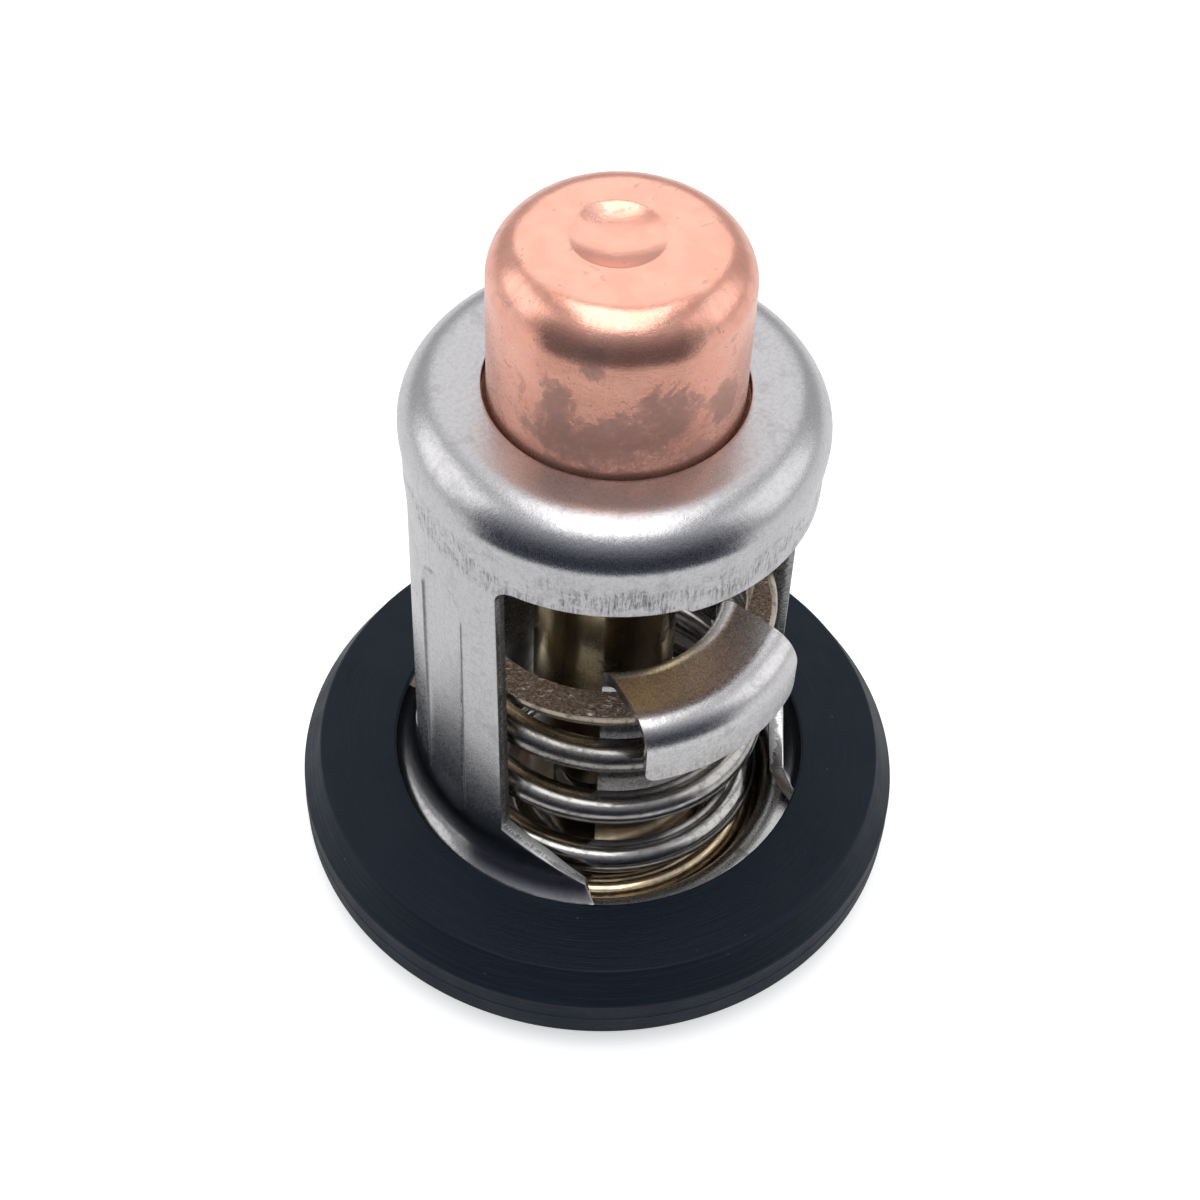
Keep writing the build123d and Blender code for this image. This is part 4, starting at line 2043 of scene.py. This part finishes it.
@dataclass
class BrassGuide(Piece):
    """The brass guide: flange in the crimp, neck, nose and the stepped bore for plug and piston.

    Args:
        flange: radius of the flange.
        flange_top: its upper face.
        flange_foot: its lower face.
        neck: radius of the neck.
        neck_foot: lower end of the neck.
        nose: radius of the nose.
        nose_foot: lower end of the nose.
        bore: radius of the piston's bore.
        plug_bore: radius of the plug's bore.
        plug_foot: lower end of the plug's bore.
    """

    name: str = "guide_turning"
    node: str = "brass_guide"
    slot: str = "guide_brass"
    body: Body = Body.HOUSING
    flange: float = 8.7
    flange_top: float = 37.6
    flange_foot: float = 36.2
    neck: float = 4.5
    neck_foot: float = 14.2
    nose: float = 3.3
    nose_foot: float = 5.4
    bore: float = 1.54
    plug_bore: float = 2.54
    plug_foot: float = 24.0

    def form(self) -> Shape:
        """Write the guide's mesh.

        Returns:
            A mesh in millimetres.
        """
        shoulder = self.neck - self.nose
        corners = [
            Corner(self.bore, self.nose_foot, 0.15),
            Corner(self.nose, self.nose_foot, 0.6),
            Corner(self.nose, self.neck_foot - shoulder, 0.4),
            Corner(self.neck, self.neck_foot, 0.4),
            Corner(self.neck, self.flange_foot, 0.35),
            Corner(self.flange, self.flange_foot),
            Corner(self.flange, self.flange_top),
            Corner(self.plug_bore, self.flange_top, 0.1),
            Corner(self.plug_bore, self.plug_foot),
            Corner(self.bore, self.plug_foot),
        ]
        return turned(rounded(corners, closed=True, run=1.2), closed=True)

    def finishes(self) -> list[Material]:
        """Write the guide's material.

        Returns:
            The brass.
        """
        brass = Metal(
            "guide_metal",
            colour=(0.88, 0.72, 0.45),
            stain=(0.24, 0.19, 0.12),
            rough=0.14,
            grain=0.005,
            # painted shade darkens the brass below 19.5 mm, inside the spring
            shade_below=19.5,
        )
        return [brass.material()]


@dataclass
class ThrustButton(Piece):
    """The button riveted through yoke and disc, with the socket that the piston pushes in.

    Args:
        head: radius of the head.
        head_top: its upper face.
        head_foot: its lower face, on the yoke.
        chamfer: its upper chamfer.
        socket: radius of the socket.
        socket_foot: floor of the socket.
        shank: radius of the shank.
        swage: radius of the riveted end.
        swage_top: its upper face, under the disc.
        swage_foot: its lower face.
    """

    name: str = "button_rivet"
    node: str = "thrust_button"
    slot: str = "button_steel"
    body: Body = Body.VALVE
    head: float = 3.0
    head_top: float = 3.9
    head_foot: float = 2.5
    chamfer: float = 0.47
    socket: float = 1.54
    socket_foot: float = 3.2
    shank: float = 1.5
    swage: float = 2.3
    swage_top: float = 0.9
    swage_foot: float = 0.3

    def form(self) -> Shape:
        """Write the button's mesh.

        Returns:
            A mesh in millimetres.
        """
        corners = [
            Corner(0.0, self.socket_foot),
            Corner(self.socket, self.socket_foot),
            Corner(self.socket, self.head_top, 0.06),
            Corner(self.head - self.chamfer, self.head_top, 0.08),
            Corner(self.head, self.head_top - self.chamfer, 0.08),
            Corner(self.head, self.head_foot, 0.08),
            Corner(self.shank, self.head_foot),
            Corner(self.shank, self.swage_top),
            Corner(self.swage, self.swage_top, 0.1),
            Corner(self.swage - 0.3, self.swage_foot, 0.2),
            Corner(0.9, self.swage_foot, 0.25),
            Corner(0.55, self.swage_foot + 0.22, 0.2),
            Corner(0.0, self.swage_foot + 0.22),
        ]
        return turned(rounded(corners, closed=False), closed=False, steps=128)

    def finishes(self) -> list[Material]:
        """Write the button's material.

        Returns:
            The steel.
        """
        steel = Metal(
            "button_metal",
            colour=(0.52, 0.51, 0.5),
            stain=(0.2, 0.18, 0.16),
            rough=0.3,
            grain=0.006,
            stained=0.4,
        )
        return [steel.material()]


@dataclass
class Piston(Piece):
    """The polished piston that pushes the button down as the wax melts.

    Args:
        radius: its radius.
        foot: its lower end, in the button's socket.
        top: its upper end.
        round_foot: rounding of the lower end.
    """

    name: str = "piston_pin"
    node: str = "piston"
    slot: str = "piston_steel"
    body: Body = Body.VALVE
    radius: float = 1.5
    foot: float = 3.2
    top: float = 30.0
    round_foot: float = 0.375

    def form(self) -> Shape:
        """Write the piston's mesh.

        Returns:
            A mesh in millimetres.
        """
        corners = [
            Corner(0.0, self.top),
            Corner(self.radius, self.top, 0.15),
            Corner(self.radius, self.foot, self.round_foot),
            Corner(0.0, self.foot),
        ]
        return turned(rounded(corners, closed=False), closed=False, steps=96)

    def finishes(self) -> list[Material]:
        """Write the piston's material.

        Returns:
            The steel.
        """
        steel = Metal(
            "piston_polish",
            colour=(0.66, 0.65, 0.64),
            stain=(0.36, 0.33, 0.3),
            rough=0.12,
            grain=0.001,
            stained=0.2,
        )
        return [steel.material()]


@dataclass(frozen=True)
class Hidden:
    """A sealed-in CAD node that keeps its own mesh and gets a finish.

    Args:
        node: the CAD node.
        slot: the record's material slot; not used.
        finish: its finish.
    """

    node: str
    slot: str
    finish: Filling

    def build(self) -> bpy.types.Object:
        """Dress the node.

        Returns:
            The CAD object.
        """
        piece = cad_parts[self.node]
        piece.data.materials.clear()
        piece.data.materials.append(self.finish.material())
        log.info("%s keeps its CAD mesh", self.node)
        return piece


# ---------------------------------------------------------------- studio


@dataclass(frozen=True)
class Lamp:
    """A soft lamp that faces the object.

    Args:
        name: the lamp's name.
        azimuth: where it stands, in degrees from -Y towards +X.
        elevation: how high it stands, in degrees.
        distance: how far away, in metres.
        size: width and height, in metres.
        strength: radiance, where 1 lights a white card to white.
        colour: its colour.
    """

    name: str
    azimuth: float
    elevation: float
    distance: float
    size: Pair
    strength: float
    colour: Colour = (1.0, 1.0, 1.0)

    def build(self) -> bpy.types.Object:
        """Place the lamp.

        Returns:
            The lamp.
        """
        data = bpy.data.lights.new(self.name, "AREA")
        data.shape = "RECTANGLE"
        data.size, data.size_y = self.size
        data.energy = self.strength * self.size[0] * self.size[1] * math.pi
        data.color = self.colour
        lamp = bpy.data.objects.new(self.name, data)
        a, e = math.radians(self.azimuth), math.radians(self.elevation)
        place = Vector((math.cos(e) * math.sin(a), -math.cos(e) * math.cos(a), math.sin(e))) * self.distance
        lamp.location = place
        lamp.rotation_euler = place.to_track_quat("Z", "Y").to_euler()
        bpy.context.scene.collection.objects.link(lamp)
        return lamp


@dataclass(frozen=True)
class Studio:
    """Floor, surroundings, lamps and camera.

    Args:
        surround: radiance of the surroundings.
        floor: colour of the floor.
        floor_size: width of the floor, in metres.
        azimuth: the camera's azimuth, in degrees.
        elevation: the camera's elevation.
        distance: camera to the point it circles, in millimetres.
        centre: height of that point, in millimetres.
        yaw: turn of the camera to its left, in degrees.
        pitch: tilt of the camera upwards.
        roll: roll of the camera.
        lens: focal length, in millimetres on a 36 mm sensor.
        card_half: half of the arc that the dark card covers, in degrees.
        card_line: the card's outline, each point its distance from the axis and its height, in metres.
        card_fade: heights between which the card turns paler, in millimetres.
        card_low: its colour near the floor.
        card_high: its colour high up.
        glow: how much the floor shines for the camera alone.
    """

    surround: Colour = (0.48, 0.49, 0.51)
    floor: Colour = (0.86, 0.86, 0.86)
    floor_size: float = 3.0
    azimuth: float = -38.0
    elevation: float = 53.93
    distance: float = 155.0
    centre: float = 2.2
    yaw: float = 0.148
    pitch: float = 4.53
    roll: float = -2.87
    lens: float = 66.81
    card_half: float = 62.0
    card_line: tuple[Pair, ...] = ((0.062, 0.002), (0.30, 0.002), (0.30, 0.355))
    card_fade: Pair = (60.0, 350.0)
    card_low: Colour = (0.02, 0.024, 0.045)
    card_high: Colour = (0.34, 0.35, 0.38)
    glow: float = 0.5

    def light(self) -> None:
        """Light the object at a plain level with the surroundings and four lamps."""
        world = bpy.data.worlds.new("surroundings")
        bpy.context.scene.world = world
        world.use_nodes = True
        tree = world.node_tree
        tree.nodes.clear()
        path = tree.nodes.new("ShaderNodeLightPath")
        lit = tree.nodes.new("ShaderNodeBackground")
        lit.inputs["Color"].default_value = (*self.surround, 1.0)
        seen = tree.nodes.new("ShaderNodeBackground")
        seen.inputs["Color"].default_value = (1.0, 1.0, 1.0, 1.0)
        mix = tree.nodes.new("ShaderNodeMixShader")
        output = tree.nodes.new("ShaderNodeOutputWorld")
        tree.links.new(path.outputs["Is Camera Ray"], mix.inputs[0])
        tree.links.new(lit.outputs[0], mix.inputs[1])
        tree.links.new(seen.outputs[0], mix.inputs[2])
        tree.links.new(mix.outputs[0], output.inputs[0])
        lamps = (
            Lamp("lamp_above", self.azimuth, 83.0, 0.55, (0.36, 0.50), 2.1),
            Lamp("lamp_behind", self.azimuth + 180.0, 45.0, 0.6, (0.7, 0.42), 0.75),
            Lamp("lamp_left", self.azimuth - 95.0, 30.0, 0.6, (0.45, 0.45), 0.95),
            Lamp("lamp_right", self.azimuth + 95.0, 30.0, 0.6, (0.45, 0.45), 0.75),
        )
        for lamp in lamps:
            lamp.build()

    def ground(self) -> None:
        """Lay the floor and stand the dark card in front."""
        bm = bmesh.new()
        bmesh.ops.create_grid(bm, x_segments=1, y_segments=1, size=self.floor_size / 2)
        floor = placed(bm, "floor")
        material = bpy.data.materials.new("floor_paper")
        material.use_nodes = True
        tree = material.node_tree
        tree.nodes.clear()
        paper = tree.nodes.new("ShaderNodeBsdfDiffuse")
        paper.inputs["Color"].default_value = (*self.floor, 1.0)
        glow = tree.nodes.new("ShaderNodeEmission")
        glow.inputs["Color"].default_value = (1.0, 1.0, 1.0, 1.0)
        path = tree.nodes.new("ShaderNodeLightPath")
        share = tree.nodes.new("ShaderNodeMath")
        share.operation = "MULTIPLY"
        share.inputs[1].default_value = self.glow
        tree.links.new(path.outputs["Is Camera Ray"], share.inputs[0])
        tree.links.new(share.outputs[0], glow.inputs["Strength"])
        both = tree.nodes.new("ShaderNodeAddShader")
        output = tree.nodes.new("ShaderNodeOutputMaterial")
        tree.links.new(paper.outputs[0], both.inputs[0])
        tree.links.new(glow.outputs[0], both.inputs[1])
        tree.links.new(both.outputs[0], output.inputs["Surface"])
        floor.data.materials.append(material)
        card = self.card()
        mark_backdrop(floor, card)

    def card(self) -> bpy.types.Object:
        """Bend a dark card round the camera's side, seen only in reflections.

        Returns:
            The card.
        """
        bm = bmesh.new()
        verts = [bm.verts.new((0.0, -out, up)) for out, up in self.card_line]
        edges = [bm.edges.new(pair) for pair in zip(verts, verts[1:])]
        start = Matrix.Rotation(math.radians(self.azimuth - self.card_half), 3, "Z")
        bmesh.ops.rotate(bm, cent=(0, 0, 0), matrix=start, verts=verts)
        bmesh.ops.spin(
            bm,
            geom=verts + edges,
            cent=(0, 0, 0),
            axis=(0, 0, 1),
            angle=math.radians(2 * self.card_half),
            steps=24,
        )
        card = placed(bm, "dark_card")
        cloth = Finish("card_cloth")
        pale = cloth.span(cloth.z, *self.card_fade)
        cloth.dress(Base_Color=cloth.blend(pale, self.card_low, self.card_high), Roughness=0.9)
        card.data.materials.append(cloth.material)
        card.visible_camera = False
        card.visible_shadow = False
        card.visible_diffuse = False
        card.visible_transmission = False
        return card

    def camera(self) -> None:
        """Set up the camera."""
        e = math.radians(self.elevation)
        place = Vector((0.0, -self.distance * math.cos(e), self.distance * math.sin(e)))
        ahead = -place.normalized()
        right = ahead.cross(Vector((0, 0, 1))).normalized()
        up = right.cross(ahead)
        for axis, angle in (("up", self.yaw), ("right", self.pitch), ("ahead", self.roll)):
            turn = Quaternion({"up": up, "right": right, "ahead": ahead}[axis], math.radians(angle))
            ahead, right, up = turn @ ahead, turn @ right, turn @ up
        axes = Matrix((right, up, -ahead)).transposed().to_4x4()
        place.z += self.centre
        data = bpy.data.cameras.new("camera")
        data.lens = self.lens
        data.sensor_width = 36.0
        data.clip_start = 0.005
        data.clip_end = 20.0
        camera = bpy.data.objects.new("camera", data)
        swing = Matrix.Rotation(math.radians(self.azimuth), 4, "Z")
        camera.matrix_world = swing @ Matrix.Translation(place * MM) @ axes
        bpy.context.scene.collection.objects.link(camera)
        bpy.context.scene.camera = camera

    def build(self) -> None:
        """Set up the whole studio."""
        self.light()
        self.ground()
        self.camera()
        bpy.context.scene.view_settings.view_transform = "Standard"


def plain(limits: object) -> object:
    """Turn nested vectors into plain lists.

    Args:
        limits: numbers, vectors or containers of them.

    Returns:
        The same as plain lists and numbers.
    """
    if isinstance(limits, dict):
        return {str(k): plain(v) for k, v in limits.items()}
    if isinstance(limits, (int, float, str)) or limits is None:
        return limits
    return [plain(item) for item in limits]


def main() -> None:
    """Build the thermostat and its studio."""
    logging.basicConfig(level=logging.INFO, format="%(message)s")
    sizes = {"packed": plain(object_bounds())}
    wax = Filling("wax_fill", (0.62, 0.45, 0.22), (0.45, 0.28, 0.12), 0.45, 0.2)
    sheet_rubber = Filling("diaphragm_sheet", (0.03, 0.03, 0.032), (0.015, 0.015, 0.017), 0.55)
    plug_rubber = Filling("plug_moulding", (0.035, 0.033, 0.03), (0.018, 0.017, 0.016), 0.5)
    white_disc = Filling("backup_fluoro", (0.78, 0.77, 0.74), (0.68, 0.67, 0.64), 0.35, 0.1)
    pieces = (
        SealRing(),
        Cage(),
        SeatPan(),
        ValveDisc(),
        Yoke(),
        Spring(),
        CopperCup(),
        BrassGuide(),
        ThrustButton(),
        Piston(),
        Hidden("wax_charge", "wax", wax),
        Hidden("diaphragm", "diaphragm_rubber", sheet_rubber),
        Hidden("rubber_plug", "plug_rubber", plug_rubber),
        Hidden("backup_disc", "backup_ptfe", white_disc),
    )
    for piece in pieces:
        piece.build()
    Studio().build()
    sizes["dressed"] = plain(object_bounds())


if __name__ == "__main__":
    main()
